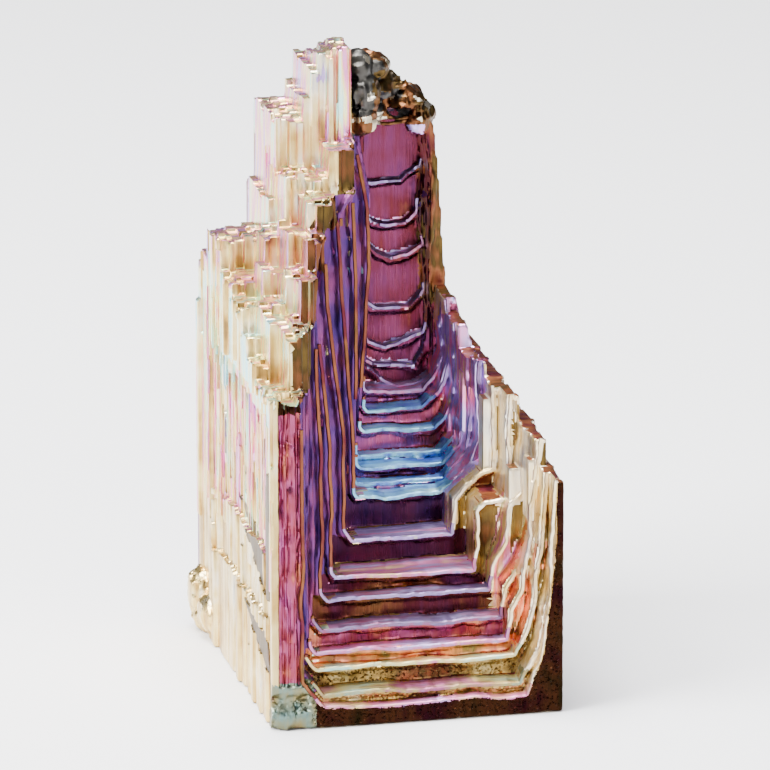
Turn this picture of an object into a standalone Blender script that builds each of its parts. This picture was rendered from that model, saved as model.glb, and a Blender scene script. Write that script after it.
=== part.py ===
"""Bismuth hopper crystal: one solid, open to the front and the top as a stepped pit.

The crystal is a pile of growth frames, one behind the other along +Y. Each frame is a U: a floor,
a tall left wall and a lower right wall. Every frame reaches from its own front plane to the back,
and its opening is a little smaller than that of the frame before it, so their union has a tread
and a riser for each. Growth ridges, hopper recesses, the crust on the peak and the lump at the
foot are added to that. Lengths below are in millimetres, +X is to the right seen from the front,
+Y goes back, +Z is up. The base is cut off flat; at the end the crystal is moved so that the
origin is under the middle of its bounding box.
"""

import math
import random
from itertools import accumulate
from typing import NamedTuple

import bmesh
import bpy
from mathutils import Matrix, Vector, noise

MM = 0.001
NODE = "bismuth_crystal"

# Driving dimensions
WIDTH = 22.5
DEPTH = 28.8
HEIGHT = 48.0
BELOW = 1.0  # how far the pieces reach under the base before it is cut flat
OVERLAP = 0.5  # how far an added piece is sunk into what carries it
SEED = 83

# Pit floor: the height of each riser and the depth of the tread behind it, front to back
RISERS = (1.4, 0.85, 1.6, 0.9, 1.4, 1.9, 1.1, 1.95, 2.4, 0.6, 1.0, 0.45, 1.6, 1.35, 1.1)
TREADS = (1.0, 1.5, 1.2, 1.2, 1.5, 1.7, 3.0, 3.0, 1.6, 1.2, 1.5, 1.2, 1.1, 1.3, 1.5)
FLOORS = tuple(accumulate(RISERS))
FRONTS = tuple(accumulate((0.0,) + TREADS))
PIT_BACK = FRONTS[-1]


class LeftWall(NamedTuple):
    """Inner side of the left wall in one frame: its place, its lean outwards above LEAN_FROM for
    each millimetre of height, and the melted filling in the corner at its foot."""

    inner: float
    lean: float
    fill: float


class RightWall(NamedTuple):
    """Inner side of the right wall in one frame: where the floor ends, the (x, z) corners that it
    turns on the way up, and where it meets the top."""

    foot: float
    corners: tuple
    head: float


LEAN_FROM = 19.0
THINNEST = 1.1  # least thickness of the left wall at its top
FILL_SLOPE = 1.4  # height over width of the filling
LEFT_WALLS = (
    LeftWall(2.1, 0.0, 1.7),
    LeftWall(2.4, 0.0, 1.4),
    LeftWall(3.0, 0.0, 0.7),
    LeftWall(3.5, 0.0, 0.4),
    LeftWall(4.1, 0.03, 0.6),
    LeftWall(5.0, 0.05, 0.5),
    LeftWall(6.1, 0.09, 0.4),
    LeftWall(7.8, 0.12, 0.6),
    LeftWall(9.1, 0.10, 0.3),
    LeftWall(9.5, 0.09, 0.3),
    LeftWall(10.0, 0.08, 0.3),
    LeftWall(10.4, 0.05, 0.3),
    LeftWall(10.9, 0.0, 0.3),
    LeftWall(11.4, -0.02, 0.3),
    LeftWall(11.8, -0.03, 0.3),
)
RIGHT_WALLS = (
    RightWall(19.5, ((20.6, 4.2), (21.4, 9.5)), 21.6),
    RightWall(19.1, ((20.3, 4.9), (20.9, 9.0), (21.5, 13.0)), 21.5),
    RightWall(19.0, ((20.2, 6.4), (20.7, 8.6), (21.4, 14.0)), 21.4),
    RightWall(18.8, ((19.0, 7.2), (20.3, 8.8), (21.2, 14.6)), 21.2),
    RightWall(18.6, ((18.7, 8.6), (19.8, 10.0), (20.7, 13.0)), 20.7),
    RightWall(18.1, ((18.2, 10.0), (19.0, 11.8), (19.4, 14.6), (20.5, 15.4)), 20.5),
    RightWall(17.3, ((17.3, 13.7), (18.0, 14.4), (19.5, 14.6), (19.8, 16.5)), 19.7),
    RightWall(16.2, ((16.2, 13.9), (18.2, 15.8), (19.1, 16.2), (19.2, 18.0)), 19.2),
    RightWall(16.0, ((18.2, 15.7), (18.8, 17.2), (18.9, 18.6)), 18.8),
    RightWall(16.6, ((17.4, 15.2), (18.3, 16.3), (18.6, 19.4)), 18.5),
    RightWall(16.9, ((18.1, 16.3), (18.1, 18.4), (18.5, 19.6)), 18.2),
    RightWall(16.9, ((17.9, 16.6), (17.9, 18.2), (18.3, 19.9)), 18.0),
    RightWall(16.7, ((17.5, 17.9), (17.7, 18.6), (18.2, 20.6)), 17.9),
    RightWall(16.0, ((17.2, 19.8), (17.9, 22.0), (18.0, 25.0)), 17.8),
    RightWall(16.5, ((17.3, 20.9), (17.8, 22.6), (17.8, 25.2)), 17.7),
)


class Side(NamedTuple):
    """Outer side of the frames from one depth on: its (x, z) corners from the foot to the top."""

    start: float
    corners: tuple


LEFT_SIDES = (
    Side(0.0, ((0.0, 25.4),)),
    Side(4.0, ((0.0, 25.4), (2.2, 25.4), (2.3, 29.8))),
    Side(7.2, ((0.0, 26.6), (1.3, 26.6), (1.4, 29.8), (3.8, 29.8), (3.9, 32.7))),
    Side(9.8, ((0.0, 27.9), (1.2, 27.9), (1.3, 30.3), (3.0, 30.3), (3.1, 32.7), (4.7, 32.7), (4.8, 35.2))),
    Side(12.3, ((0.0, 29.6), (1.9, 29.6), (2.0, 32.2), (3.7, 32.2), (3.8, 35.2), (5.5, 35.2), (5.6, 37.4))),
    Side(15.8, ((0.0, 30.6), (2.8, 30.6), (2.9, 34.2), (4.2, 34.2), (4.4, 38.6), (7.6, 38.6), (7.8, 40.6))),
    Side(
        19.3,
        ((0.0, 31.5), (3.4, 31.5), (3.6, 36.0), (4.1, 36.0), (4.4, 42.2), (6.8, 42.2), (7.2, 44.6),
         (8.0, 46.4), (9.0, 47.5), (10.0, HEIGHT), (10.7, 47.7)),
    ),
)
RIGHT_SIDES = (
    Side(0.0, ((WIDTH, 18.2),)),
    Side(3.6, ((WIDTH, 18.4), (21.9, 18.4), (21.9, 20.5))),
    Side(8.0, ((WIDTH, 18.6), (22.0, 18.6), (22.0, 20.8), (20.8, 20.8), (20.8, 22.7))),
    Side(13.6, ((WIDTH, 18.8), (22.1, 18.8), (22.1, 21.0), (20.9, 21.0), (20.9, 22.9), (19.7, 22.9), (19.7, 23.8))),
    Side(17.8, ((WIDTH, 19.0), (22.1, 19.0), (22.1, 21.2), (20.9, 21.2), (20.9, 23.0), (19.7, 23.0), (19.2, 25.8))),
    Side(20.7, ((WIDTH, 19.2), (22.2, 19.2), (22.2, 21.3), (21.0, 21.3), (21.0, 23.2), (19.8, 23.2), (18.9, 27.2))),
)

# Broken top of the back wall, from the peak down to the right
BREAK = ((12.4, 46.6), (13.2, 45.3), (15.0, 44.4), (16.1, 43.2), (17.0, 41.6), (17.8, 39.8), (18.2, 35.0), (18.6, 28.6))

# Back wall of the pit: the height of each ledge and how far the wall steps back above it
LEDGES = (19.9, 21.1, 22.9, 25.5, 29.4, 32.0, 35.2)
LEDGE_STEP = 0.45
RECESS_LEFT, RECESS_RIGHT = 12.1, 17.4
RECESS_NARROWS = 0.12
RECESS_TOP = 40.2

# Back face: above each height it stands further forward
BACK_STEPS = ((31.5, 1.0), (42.2, 2.0))


class Ridge(NamedTuple):
    """Growth ridges of one face: how many, how wide, how far they stand out, and how many blades
    stand on each."""

    count: int
    narrow: float
    wide: float
    low: float
    middle: float
    high: float
    blades: int


LEFT_RIDGES = Ridge(28, 0.4, 0.85, 0.08, 0.18, 0.32, 2)
BACK_RIDGES = Ridge(16, 0.5, 1.1, 0.08, 0.2, 0.34, 1)
RIGHT_RIDGES = Ridge(15, 0.5, 1.1, 0.08, 0.18, 0.29, 1)

# Hopper recess in the lower left face: (y from, y to, z from, z to, depth) of each step
LEFT_RECESS = ((3.0, 22.5, 7.9, 24.6, 0.35), (4.3, 20.5, 12.7, 23.4, 0.75))
# The same in the right face and in the back face, where the first two are along x
RIGHT_RECESS = ((2.2, 26.6, 2.4, 16.6, 0.4), (4.4, 24.6, 4.6, 14.9, 0.8), (7.2, 22.0, 6.6, 13.2, 1.2))
BACK_RECESS = ((2.4, 19.8, 2.6, 24.0, 0.4), (4.2, 18.0, 4.6, 21.6, 0.8), (6.4, 15.8, 7.2, 18.8, 1.2), (8.0, 14.0, 9.6, 16.4, 1.6))

# Teeth on the right wall: (x from, x to, y from, y to, z from, z to)
TEETH = (
    (17.6, 20.4, 8.3, 10.8, 8.0, 14.2),
    (19.6, 21.3, 6.6, 8.0, 12.0, 17.4),
    (20.4, 21.9, 3.9, 5.6, 14.0, 18.8),
    (18.7, 20.4, 11.3, 12.9, 15.6, 21.6),
    (18.2, 19.6, 16.2, 17.4, 17.6, 22.4),
)

# Lumps of metal: (centre, radii) of the crust on the peak and of the melt at the rear left foot
CRUST = (
    ((12.2, 23.4, 46.0), (1.9, 1.9, 1.5)),
    ((13.6, 24.2, 44.2), (1.7, 2.2, 1.3)),
    ((15.4, 24.6, 42.9), (1.6, 2.0, 1.3)),
    ((16.6, 24.4, 41.2), (1.2, 1.8, 1.5)),
    ((11.9, 22.6, 43.9), (1.1, 1.3, 1.5)),
    ((12.9, 23.4, 41.6), (1.0, 1.3, 1.0)),
)
MELT = (
    ((0.9, 26.2, 2.0), (1.9, 3.0, 2.7)),
    ((0.6, 22.6, 1.2), (1.3, 2.3, 2.1)),
    ((1.0, 27.2, 0.7), (2.2, 2.2, 1.5)),
)
FOOT_CRUST = (
    ((1.0, 0.9, 1.0), (1.2, 1.1, 1.5)),
    ((2.5, 0.8, 0.5), (1.3, 0.9, 1.0)),
    ((0.9, 1.1, 2.9), (0.9, 0.9, 1.0)),
)
ROUGHNESS = 0.16  # share of a lump's radius that its surface varies by
HOLE = ((14.9, 41.35), (0.75, 0.34))  # (x, z) of the hole through the crust, and its half sizes
HOLE_SIDES = 7


def new_object(name, bm):
    """Puts a bmesh into the scene as an object."""
    bmesh.ops.recalc_face_normals(bm, faces=bm.faces)
    mesh = bpy.data.meshes.new(name)
    bm.to_mesh(mesh)
    bm.free()
    obj = bpy.data.objects.new(name, mesh)
    bpy.context.collection.objects.link(obj)
    return obj


def prism(name, outline, y_from, y_to):
    """An (x, z) outline drawn out along y."""
    bm = bmesh.new()
    face = bm.faces.new([bm.verts.new((x, y_from, z)) for x, z in outline])
    grown = bmesh.ops.extrude_face_region(bm, geom=[face])["geom"]
    far = [part for part in grown if isinstance(part, bmesh.types.BMVert)]
    bmesh.ops.translate(bm, vec=(0, y_to - y_from, 0), verts=far)
    return new_object(name, bm)


def block(name, low, high):
    """A box between two corners."""
    bm = bmesh.new()
    bmesh.ops.create_cube(bm, size=1)
    low, high = Vector(low), Vector(high)
    bmesh.ops.scale(bm, vec=high - low, verts=bm.verts)
    bmesh.ops.translate(bm, vec=(low + high) / 2, verts=bm.verts)
    return new_object(name, bm)


def lump(name, centre, radii, rounds):
    """A rough piece of metal, broken for one round of subdivision and melted for two."""
    bm = bmesh.new()
    bmesh.ops.create_icosphere(bm, subdivisions=rounds, radius=1)
    for vert in bm.verts:
        rough = noise.noise(vert.co * 2.1 + Vector(centre))
        vert.co *= 1 + ROUGHNESS * 2 * rough
        vert.co = Vector(centre) + Vector(a * b for a, b in zip(vert.co, radii))
    return new_object(name, bm)


def combine(target, pieces, operation):
    """Joins the pieces to the target, or cuts them from it, and removes them."""
    group = bpy.data.collections.new("pieces")
    for piece in pieces:
        bpy.context.collection.objects.unlink(piece)
        group.objects.link(piece)
    modifier = target.modifiers.new("combine", "BOOLEAN")
    modifier.operation = operation
    modifier.operand_type = "COLLECTION"
    modifier.collection = group
    evaluated = target.evaluated_get(bpy.context.evaluated_depsgraph_get())
    target.data = bpy.data.meshes.new_from_object(evaluated)
    target.modifiers.clear()
    for piece in pieces:
        bpy.data.objects.remove(piece)
    bpy.data.collections.remove(group)


def side_at(sides, depth):
    """The corners of an outer side at one depth."""
    return [side for side in sides if side.start <= depth][-1].corners


def left_inside(wall, height):
    """Where the inner side of the left wall stands at a height."""
    return wall.inner - wall.lean * max(0.0, height - LEAN_FROM)


def frame_outline(depth):
    """The U of the growth frame that starts at a depth, clockwise from its lower left corner."""
    index = max(i for i, front in enumerate(FRONTS[:-1]) if front <= depth)
    floor = FLOORS[index]
    left, right = LEFT_WALLS[index], RIGHT_WALLS[index]
    left_side, right_side = side_at(LEFT_SIDES, depth), side_at(RIGHT_SIDES, depth)
    left_top, right_top = left_side[-1][1], right_side[-1][1]
    fill_top = floor + left.fill * FILL_SLOPE
    upright = [(left.inner, LEAN_FROM)] if LEAN_FROM > fill_top else []
    inner = [
        (max(left_inside(left, left_top), left_side[-1][0] + THINNEST), left_top),
        *upright,
        (left.inner, fill_top),
        (left.inner + left.fill, floor),
        (right.foot, floor),
        *right.corners,
        (right.head, right_top),
    ]
    return [(0.0, -BELOW), *left_side, *inner, *reversed(right_side), (WIDTH, -BELOW)]


def back_outline():
    """The solid back wall behind the pit, clockwise from its lower left corner."""
    left_side, right_side = side_at(LEFT_SIDES, PIT_BACK), side_at(RIGHT_SIDES, PIT_BACK)
    return [(0.0, -BELOW), *left_side, *BREAK, *reversed(right_side), (WIDTH, -BELOW)]


def frames():
    """All growth frames behind the first one, and the back wall."""
    starts = {*FRONTS[:-1], *(side.start for side in (*LEFT_SIDES, *RIGHT_SIDES))} - {0.0}
    for depth in sorted(starts):
        yield prism("frame", frame_outline(depth), depth, PIT_BACK + OVERLAP)
    yield prism("back_wall", back_outline(), PIT_BACK, DEPTH)


def recess_steps():
    """What is cut from the back wall above each ledge, nearest first."""
    for step, ledge in enumerate(LEDGES, 1):
        narrow = RECESS_NARROWS * step
        low = (RECESS_LEFT + narrow, PIT_BACK - BELOW, ledge)
        high = (RECESS_RIGHT - narrow, PIT_BACK + LEDGE_STEP * step, RECESS_TOP)
        yield block(f"recess_{step}", low, high)


def back_steps():
    """What is cut from the back so that it stands further forward higher up."""
    for height, inset in BACK_STEPS:
        yield block("back_step", (-BELOW, DEPTH - inset, height), (WIDTH, DEPTH + BELOW, HEIGHT + BELOW))


def side_recesses():
    """The shallow hopper steps of the left, right and back faces."""
    for y_from, y_to, z_from, z_to, deep in LEFT_RECESS:
        yield block("left_recess", (-BELOW, y_from, z_from), (deep, y_to, z_to))
    for y_from, y_to, z_from, z_to, deep in RIGHT_RECESS:
        yield block("right_recess", (WIDTH - deep, y_from, z_from), (WIDTH + BELOW, y_to, z_to))
    for x_from, x_to, z_from, z_to, deep in BACK_RECESS:
        yield block("back_recess", (x_from, DEPTH - deep, z_from), (x_to, DEPTH + BELOW, z_to))


def courses(rng, ridge, low, high):
    """One ridge as (z from, z to, how far it stands out, how far its flanks are drawn in): its
    whole length first, then shorter and prouder blades on it."""
    out = rng.uniform(ridge.low, ridge.middle)
    yield low, high, out, 0.0
    for _ in range(ridge.blades):
        low_end = rng.uniform(low, high - OVERLAP)
        high_end = min(high - 0.1, low_end + rng.uniform(0.15, 0.5) * (high - low))
        if high_end - low_end > OVERLAP:
            yield low_end, high_end, rng.uniform(ridge.middle, ridge.high), rng.uniform(0.04, 0.1)


def plateaus(corners):
    """The upright stretches of an outer side as (x, z from, z to)."""
    floor = -BELOW
    for x, top in corners:
        if top - floor > OVERLAP:
            yield x, floor, top
            floor = top


def back_at(height):
    """Where the back face stands at a height."""
    return DEPTH - max([0.0, *(inset for start, inset in BACK_STEPS if start < height)])


def left_ridges(rng):
    """Upright growth ridges on the left face."""
    ridge = LEFT_RIDGES
    pitch = (DEPTH - 1.2) / ridge.count
    (y_from, y_to, *_), *_ = LEFT_RECESS
    for number in range(ridge.count):
        y = 0.6 + pitch * (number + rng.uniform(0.0, 0.3))
        width = rng.uniform(ridge.narrow, ridge.wide)
        for x, low, high in plateaus(side_at(LEFT_SIDES, y)):
            far = min(y + width, back_at(high) - 0.2)
            if far - y < ridge.narrow:
                continue
            foot = rng.uniform(9.0, 17.0) if low < 0 and y_from < y < y_to else low
            top = high - rng.uniform(0.1, 1.2)
            for a, b, out, inset in courses(rng, ridge, foot, top):
                yield block("left_ridge", (x - out, y + inset, a), (x + 0.9, far - inset, b))


def back_ridges(rng):
    """Upright growth ridges on the back face, below and above its first step."""
    ridge = BACK_RIDGES
    pitch = (WIDTH - 2.0) / ridge.count
    (x_from, x_to, *_), *_ = BACK_RECESS
    for number in range(ridge.count):
        x = 0.8 + pitch * (number + rng.uniform(0.0, 0.3))
        width = rng.uniform(ridge.narrow, ridge.wide)
        foot = rng.uniform(10.0, 24.0) if x_from < x < x_to else -BELOW
        top = 26.0 if x > 17.6 else BACK_STEPS[0][0]
        for a, b, out, inset in courses(rng, ridge, foot, top - rng.uniform(0.2, 1.4)):
            yield block("back_ridge", (x + inset, DEPTH - 2.0, a), (x + width - inset, DEPTH + out - 0.35, b))
        if 5.2 < x < 16.4:
            shelf = BACK_STEPS[0][0]
            face = back_at(shelf + BELOW)
            for a, b, out, inset in courses(rng, ridge, shelf - OVERLAP, rng.uniform(37.0, 41.6)):
                yield block("back_ridge", (x + inset, face - 0.7, a), (x + width - inset, face + out - 0.2, b))


def right_ridges(rng):
    """Upright growth ridges on the right face."""
    ridge = RIGHT_RIDGES
    pitch = (DEPTH - 2.0) / ridge.count
    for number in range(ridge.count):
        y = 0.8 + pitch * (number + rng.uniform(0.0, 0.3))
        width = rng.uniform(ridge.narrow, ridge.wide)
        deep = max([0.0, *(step[4] for step in RIGHT_RECESS if step[0] - width < y < step[1])])
        foot = rng.uniform(3.0, 12.0) if deep else -BELOW
        for a, b, out, inset in courses(rng, ridge, foot, 18.0 - rng.uniform(0.2, 1.2)):
            yield block("right_ridge", (WIDTH - deep - 0.33, y + inset, a), (WIDTH + out - 0.3, y + width - inset, b))


def teeth():
    """Short blocks that stand in the steps of the right wall."""
    for x_from, x_to, y_from, y_to, z_from, z_to in TEETH:
        yield block("tooth", (x_from, y_from, z_from), (x_to, y_to, z_to))


def lumps():
    """The rough metal on the peak and at the foot."""
    for centre, radii in (*CRUST, *FOOT_CRUST):
        yield lump("crust", centre, radii, 1)
    for centre, radii in MELT:
        yield lump("melt", centre, radii, 2)


def hole():
    """The cutter of the hole through the crust."""
    (x, z), (half_wide, half_high) = HOLE
    turns = [2 * math.pi * side / HOLE_SIDES for side in range(HOLE_SIDES)]
    outline = [(x + half_wide * math.cos(turn), z + half_high * math.sin(turn)) for turn in turns]
    return prism("hole", outline, PIT_BACK - 4.0, DEPTH + BELOW)


def metal():
    """Bismuth under its oxide film, as one plain finish."""
    material = bpy.data.materials.new("bismuth")
    material.use_nodes = True
    shader = material.node_tree.nodes["Principled BSDF"]
    shader.inputs["Base Color"].default_value = (0.42, 0.24, 0.36, 1.0)
    shader.inputs["Metallic"].default_value = 1.0
    shader.inputs["Roughness"].default_value = 0.3
    return material


def build():
    """Builds the crystal."""
    for obj in list(bpy.data.objects):
        bpy.data.objects.remove(obj)
    rng = random.Random(SEED)
    crystal = prism(NODE, frame_outline(0.0), 0.0, PIT_BACK + OVERLAP)
    combine(crystal, list(frames()), "UNION")
    combine(crystal, [*recess_steps(), *back_steps(), *side_recesses()], "DIFFERENCE")
    ridges = [*left_ridges(rng), *back_ridges(rng), *right_ridges(rng)]
    combine(crystal, [*ridges, *teeth(), *lumps()], "UNION")
    base_cut = block("base_cut", (-20, -20, -20), (60, 60, 0))
    combine(crystal, [hole(), base_cut], "DIFFERENCE")
    corners = [Vector(corner) for corner in crystal.bound_box]
    middle = sum(corners, Vector()) / len(corners)
    centred = Matrix.Translation((-middle.x, -middle.y, 0))
    crystal.data.transform(Matrix.Scale(MM, 4) @ centred)
    crystal.data.materials.clear()
    crystal.data.materials.append(metal())


build()
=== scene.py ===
"""Bismuth hopper crystal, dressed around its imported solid.

The crystal is built in its own millimetres: +X to the right, +Y to the back, +Z up, with the
origin in the lower left corner of its front face. A body of growth frames stands around a
stepped pit; lips run along every terrace, striae stand on the outer faces and small grains lie
on the front. All of it is one metal under a thin oxide film.
"""

import logging
import math
from dataclasses import astuple, dataclass, field, fields
from enum import Enum
from itertools import accumulate

import bmesh
import bpy
import numpy as np
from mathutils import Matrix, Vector


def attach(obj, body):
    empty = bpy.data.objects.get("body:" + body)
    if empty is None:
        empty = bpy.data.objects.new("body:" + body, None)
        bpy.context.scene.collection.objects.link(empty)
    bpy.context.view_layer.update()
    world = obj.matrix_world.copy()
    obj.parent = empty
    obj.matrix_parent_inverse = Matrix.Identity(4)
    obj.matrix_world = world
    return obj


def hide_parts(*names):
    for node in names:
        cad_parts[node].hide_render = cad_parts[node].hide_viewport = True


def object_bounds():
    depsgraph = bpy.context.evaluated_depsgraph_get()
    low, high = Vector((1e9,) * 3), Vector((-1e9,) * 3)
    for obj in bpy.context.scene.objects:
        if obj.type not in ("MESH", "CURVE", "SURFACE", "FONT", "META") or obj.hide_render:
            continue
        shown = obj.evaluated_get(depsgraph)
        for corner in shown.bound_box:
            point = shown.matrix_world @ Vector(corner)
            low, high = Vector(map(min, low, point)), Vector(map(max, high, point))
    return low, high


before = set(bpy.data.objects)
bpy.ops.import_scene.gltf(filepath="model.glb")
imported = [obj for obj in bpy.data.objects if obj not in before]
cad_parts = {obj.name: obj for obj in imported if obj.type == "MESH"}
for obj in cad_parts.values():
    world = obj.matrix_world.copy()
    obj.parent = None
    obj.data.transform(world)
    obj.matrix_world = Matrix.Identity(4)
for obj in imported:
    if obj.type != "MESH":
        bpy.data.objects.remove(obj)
CAD_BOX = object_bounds()

LOG = logging.getLogger("crystal")
MM = 0.001
NODE = "bismuth_crystal"
Outline = list[tuple[float, float]]

# The solid's lowest front corner in the crystal's own millimetres
SOLID_RIGHT = 22.5
SOLID_FRONT = -0.079

WIDTH = 22.5
DEPTH = 28.8
HEIGHT = 48.0
OPEN = 60.0  # above and beside everything

# Pit floor, front to back: height of each riser and depth of the tread behind it
RISERS = (1.4, 0.85, 1.6, 0.9, 1.4, 1.9, 1.1, 1.95, 2.4, 0.6, 1.0, 0.45, 1.6, 1.35, 1.1)
TREADS = (1.0, 1.5, 1.2, 1.2, 1.5, 1.7, 3.0, 3.0, 1.6, 1.2, 1.5, 1.2, 1.1, 1.3, 1.5)
FLOORS = tuple(accumulate(RISERS))
FRONTS = tuple(accumulate((0.0,) + TREADS))
PIT_BACK = FRONTS[-1]

# Left wall of each frame: the melt in the corner at its foot, then its (x, z) corners going up
FILL_SLOPE = 1.4
THINNEST = 1.1
LEFT_WALLS = (
    (1.7, ((2.1, 19.0), (2.1, 99))),
    (1.4, ((2.4, 19.0), (2.4, 99))),
    (0.7, ((3.0, 19.0), (3.0, 99))),
    (0.4, ((3.5, 19.0), (3.6, 99))),
    (0.6, ((4.1, 19.0), (3.9, 26.0), (3.8, 99))),
    (0.5, ((5.0, 19.0), (4.6, 27.0), (4.4, 99))),
    (0.4, ((6.1, 19.0), (5.0, 30.0), (5.1, 99))),
    (0.6, ((7.8, 19.0), (6.5, 30.0), (6.3, 34.5), (7.3, 36.4), (7.3, 99))),
    (0.3, ((9.1, 19.0), (8.3, 30.0), (7.9, 36.0), (7.9, 99))),
    (0.3, ((9.5, 19.0), (8.7, 30.0), (8.6, 35.5), (9.8, 37.2), (9.8, 99))),
    (0.3, ((10.0, 19.0), (10.0, 30.0), (9.8, 36.0), (10.0, 38.0), (10.0, 99))),
    (0.3, ((10.4, 19.0), (10.4, 31.0), (10.1, 36.0), (10.1, 99))),
    (0.3, ((10.9, 19.0), (11.7, 30.0), (11.5, 35.0), (10.4, 41.0), (10.3, 99))),
    (0.3, ((11.4, 19.0), (11.95, 30.0), (11.8, 36.0), (10.7, 41.0), (10.6, 99))),
    (0.3, ((11.8, 19.0), (12.3, 30.0), (12.2, 36.0), (11.2, 41.5), (11.0, 99))),
)
# Right wall of each frame: its (x, z) corners from the end of the floor to the top
RIGHT_WALLS = (
    ((19.5, 0), (20.6, 4.2), (21.4, 9.5), (21.6, 99)),
    ((19.1, 0), (20.4, 4.9), (21.2, 9.0), (21.6, 13.0), (21.6, 99)),
    ((19.0, 0), (19.9, 6.4), (20.3, 8.6), (20.9, 14.0), (21.2, 99)),
    ((18.8, 0), (18.9, 7.2), (19.8, 8.8), (20.3, 14.6), (21.0, 99)),
    ((18.6, 0), (18.7, 8.6), (19.8, 10.0), (20.7, 13.0), (20.7, 99)),
    ((18.1, 0), (18.2, 10.0), (19.0, 11.8), (19.4, 14.6), (20.5, 15.4), (20.5, 99)),
    ((17.3, 0), (17.3, 13.7), (18.0, 14.4), (19.5, 14.6), (19.8, 16.5), (19.7, 99)),
    ((16.2, 0), (16.2, 13.9), (18.2, 15.8), (19.1, 16.2), (19.2, 18.0), (19.2, 99)),
    ((16.0, 0), (18.2, 15.7), (18.8, 17.2), (18.9, 18.6), (18.8, 99)),
    ((16.6, 0), (17.4, 15.2), (18.3, 16.3), (18.6, 19.4), (18.5, 99)),
    ((16.9, 0), (18.1, 16.3), (18.1, 18.4), (18.5, 19.6), (18.2, 99)),
    ((16.9, 0), (17.9, 16.6), (17.9, 18.2), (18.3, 19.9), (18.0, 99)),
    ((16.7, 0), (17.5, 17.9), (17.7, 18.6), (18.2, 20.6), (17.9, 99)),
    ((16.0, 0), (17.2, 19.8), (17.9, 22.0), (18.0, 25.0), (17.8, 99)),
    ((16.5, 0), (17.3, 20.9), (17.8, 22.6), (17.8, 25.2), (17.7, 99)),
)
# Outer sides from one depth on: their (x, z) corners from the foot to the top
LEFT_SIDES = (
    (0.0, ((0.0, 25.4),)),
    (4.0, ((0.0, 25.4), (2.2, 25.4), (2.3, 29.8))),
    (7.2, ((0.0, 26.6), (1.3, 26.6), (1.4, 29.8), (3.8, 29.8), (3.9, 32.7))),
    (9.8, ((0.0, 27.9), (1.2, 27.9), (1.3, 30.3), (3.0, 30.3), (3.1, 32.7), (4.7, 32.7), (4.8, 35.2))),
    (12.3, ((0.0, 29.6), (1.9, 29.6), (2.0, 32.2), (3.7, 32.2), (3.8, 35.2), (5.5, 35.2), (5.6, 37.4))),
    (15.8, ((0.0, 30.6), (2.8, 30.6), (2.9, 34.2), (4.2, 34.2), (4.4, 38.6), (7.6, 38.6), (7.8, 40.6))),
    (19.3, ((0.0, 31.5), (3.4, 31.5), (3.6, 36.0), (4.1, 36.0), (4.4, 42.2), (6.8, 42.2), (7.2, 44.6),
            (8.0, 46.4), (9.0, 47.5), (10.0, HEIGHT), (10.7, 47.7))),
)
RIGHT_SIDES = (
    (0.0, ((WIDTH, 18.2),)),
    (3.6, ((WIDTH, 18.4), (21.9, 18.4), (21.9, 20.5))),
    (8.0, ((WIDTH, 18.6), (22.0, 18.6), (22.0, 20.8), (20.8, 20.8), (20.8, 22.7))),
    (13.6, ((WIDTH, 18.8), (22.1, 18.8), (22.1, 21.0), (20.9, 21.0), (20.9, 22.9), (19.7, 22.9),
            (19.7, 23.8))),
    (17.8, ((WIDTH, 19.0), (22.1, 19.0), (22.1, 21.2), (20.9, 21.2), (20.9, 23.0), (19.7, 23.0),
            (19.2, 25.8))),
    (20.7, ((WIDTH, 19.2), (22.2, 19.2), (22.2, 21.3), (21.0, 21.3), (21.0, 23.2), (19.8, 23.2),
            (18.9, 27.2))),
)
# The broken edge of the peak, down to the right
BREAK = (
    (12.4, 45.6), (13.2, 44.6), (15.0, 43.6), (16.1, 42.6), (17.0, 41.2), (17.8, 39.8),
    (18.2, 35.0), (18.6, 28.6), (19.0, 27.2),
)
# The back wall's recess: the heights of its ledges, how far each stands back, and its top
LEDGES = (19.9, 21.1, 22.9, 25.5, 29.4, 32.0, 35.2)
LEDGE_STEP = 0.45
RECESS_TOP = 40.2
# The left wall's columns: where they end, how they fall away to the rear, and what the crust sits on
WALL_END = 10.3
REAR_FROM = 21.8
REAR_FALL = 0.28
REAR_SHELF = ((19.3, 33.0), (24.6, 30.6), (27.3, 29.2))
CRUST_FOOT = 41.0
CRUST_HEAD = 45.2
BACK_STEPS = ((31.5, 1.0), (42.2, 2.0))  # above each height the back stands in by this much
MIDDLE = 12.5  # x that parts the left half of the pit from the right
LEDGE_WIDTH = 1.35  # between the left wall's inner side and its outer steps
# Shallow hopper steps of the outer faces: (from, to, z from, z to, depth)
LEFT_RECESS = ((3.0, 22.5, 7.9, 24.6, 0.35), (4.3, 20.5, 12.7, 23.4, 0.75))
RIGHT_RECESS = ((2.2, 26.6, 2.4, 16.6, 0.4), (4.4, 24.6, 4.6, 14.9, 0.8), (7.2, 22.0, 6.6, 13.2, 1.2))
# Flat facets of the left face, whose darkness is a painted reflection, as (y, z) outlines, and how far they
# stand out
FACETS = (
    [(16.0, 14.2), (4.5, 9.4), (5.6, 12.6)],
    [(3.8, 19.2), (1.3, 19.6), (1.5, 9.8), (3.3, 9.4)],
    [(11.5, 7.3), (2.4, 6.5), (1.2, 3.8), (4.4, 4.8)],
)
FACET_RISE = 0.07
GAP_DEPTH = 0.16  # how far the narrowest upright blades stand back
BACK_RECESS = (
    (2.4, 19.8, 2.6, 24.0, 0.4), (4.2, 18.0, 4.6, 21.6, 0.8), (6.4, 15.8, 7.2, 18.8, 1.2),
    (8.0, 14.0, 9.6, 16.4, 1.6),
)
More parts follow.
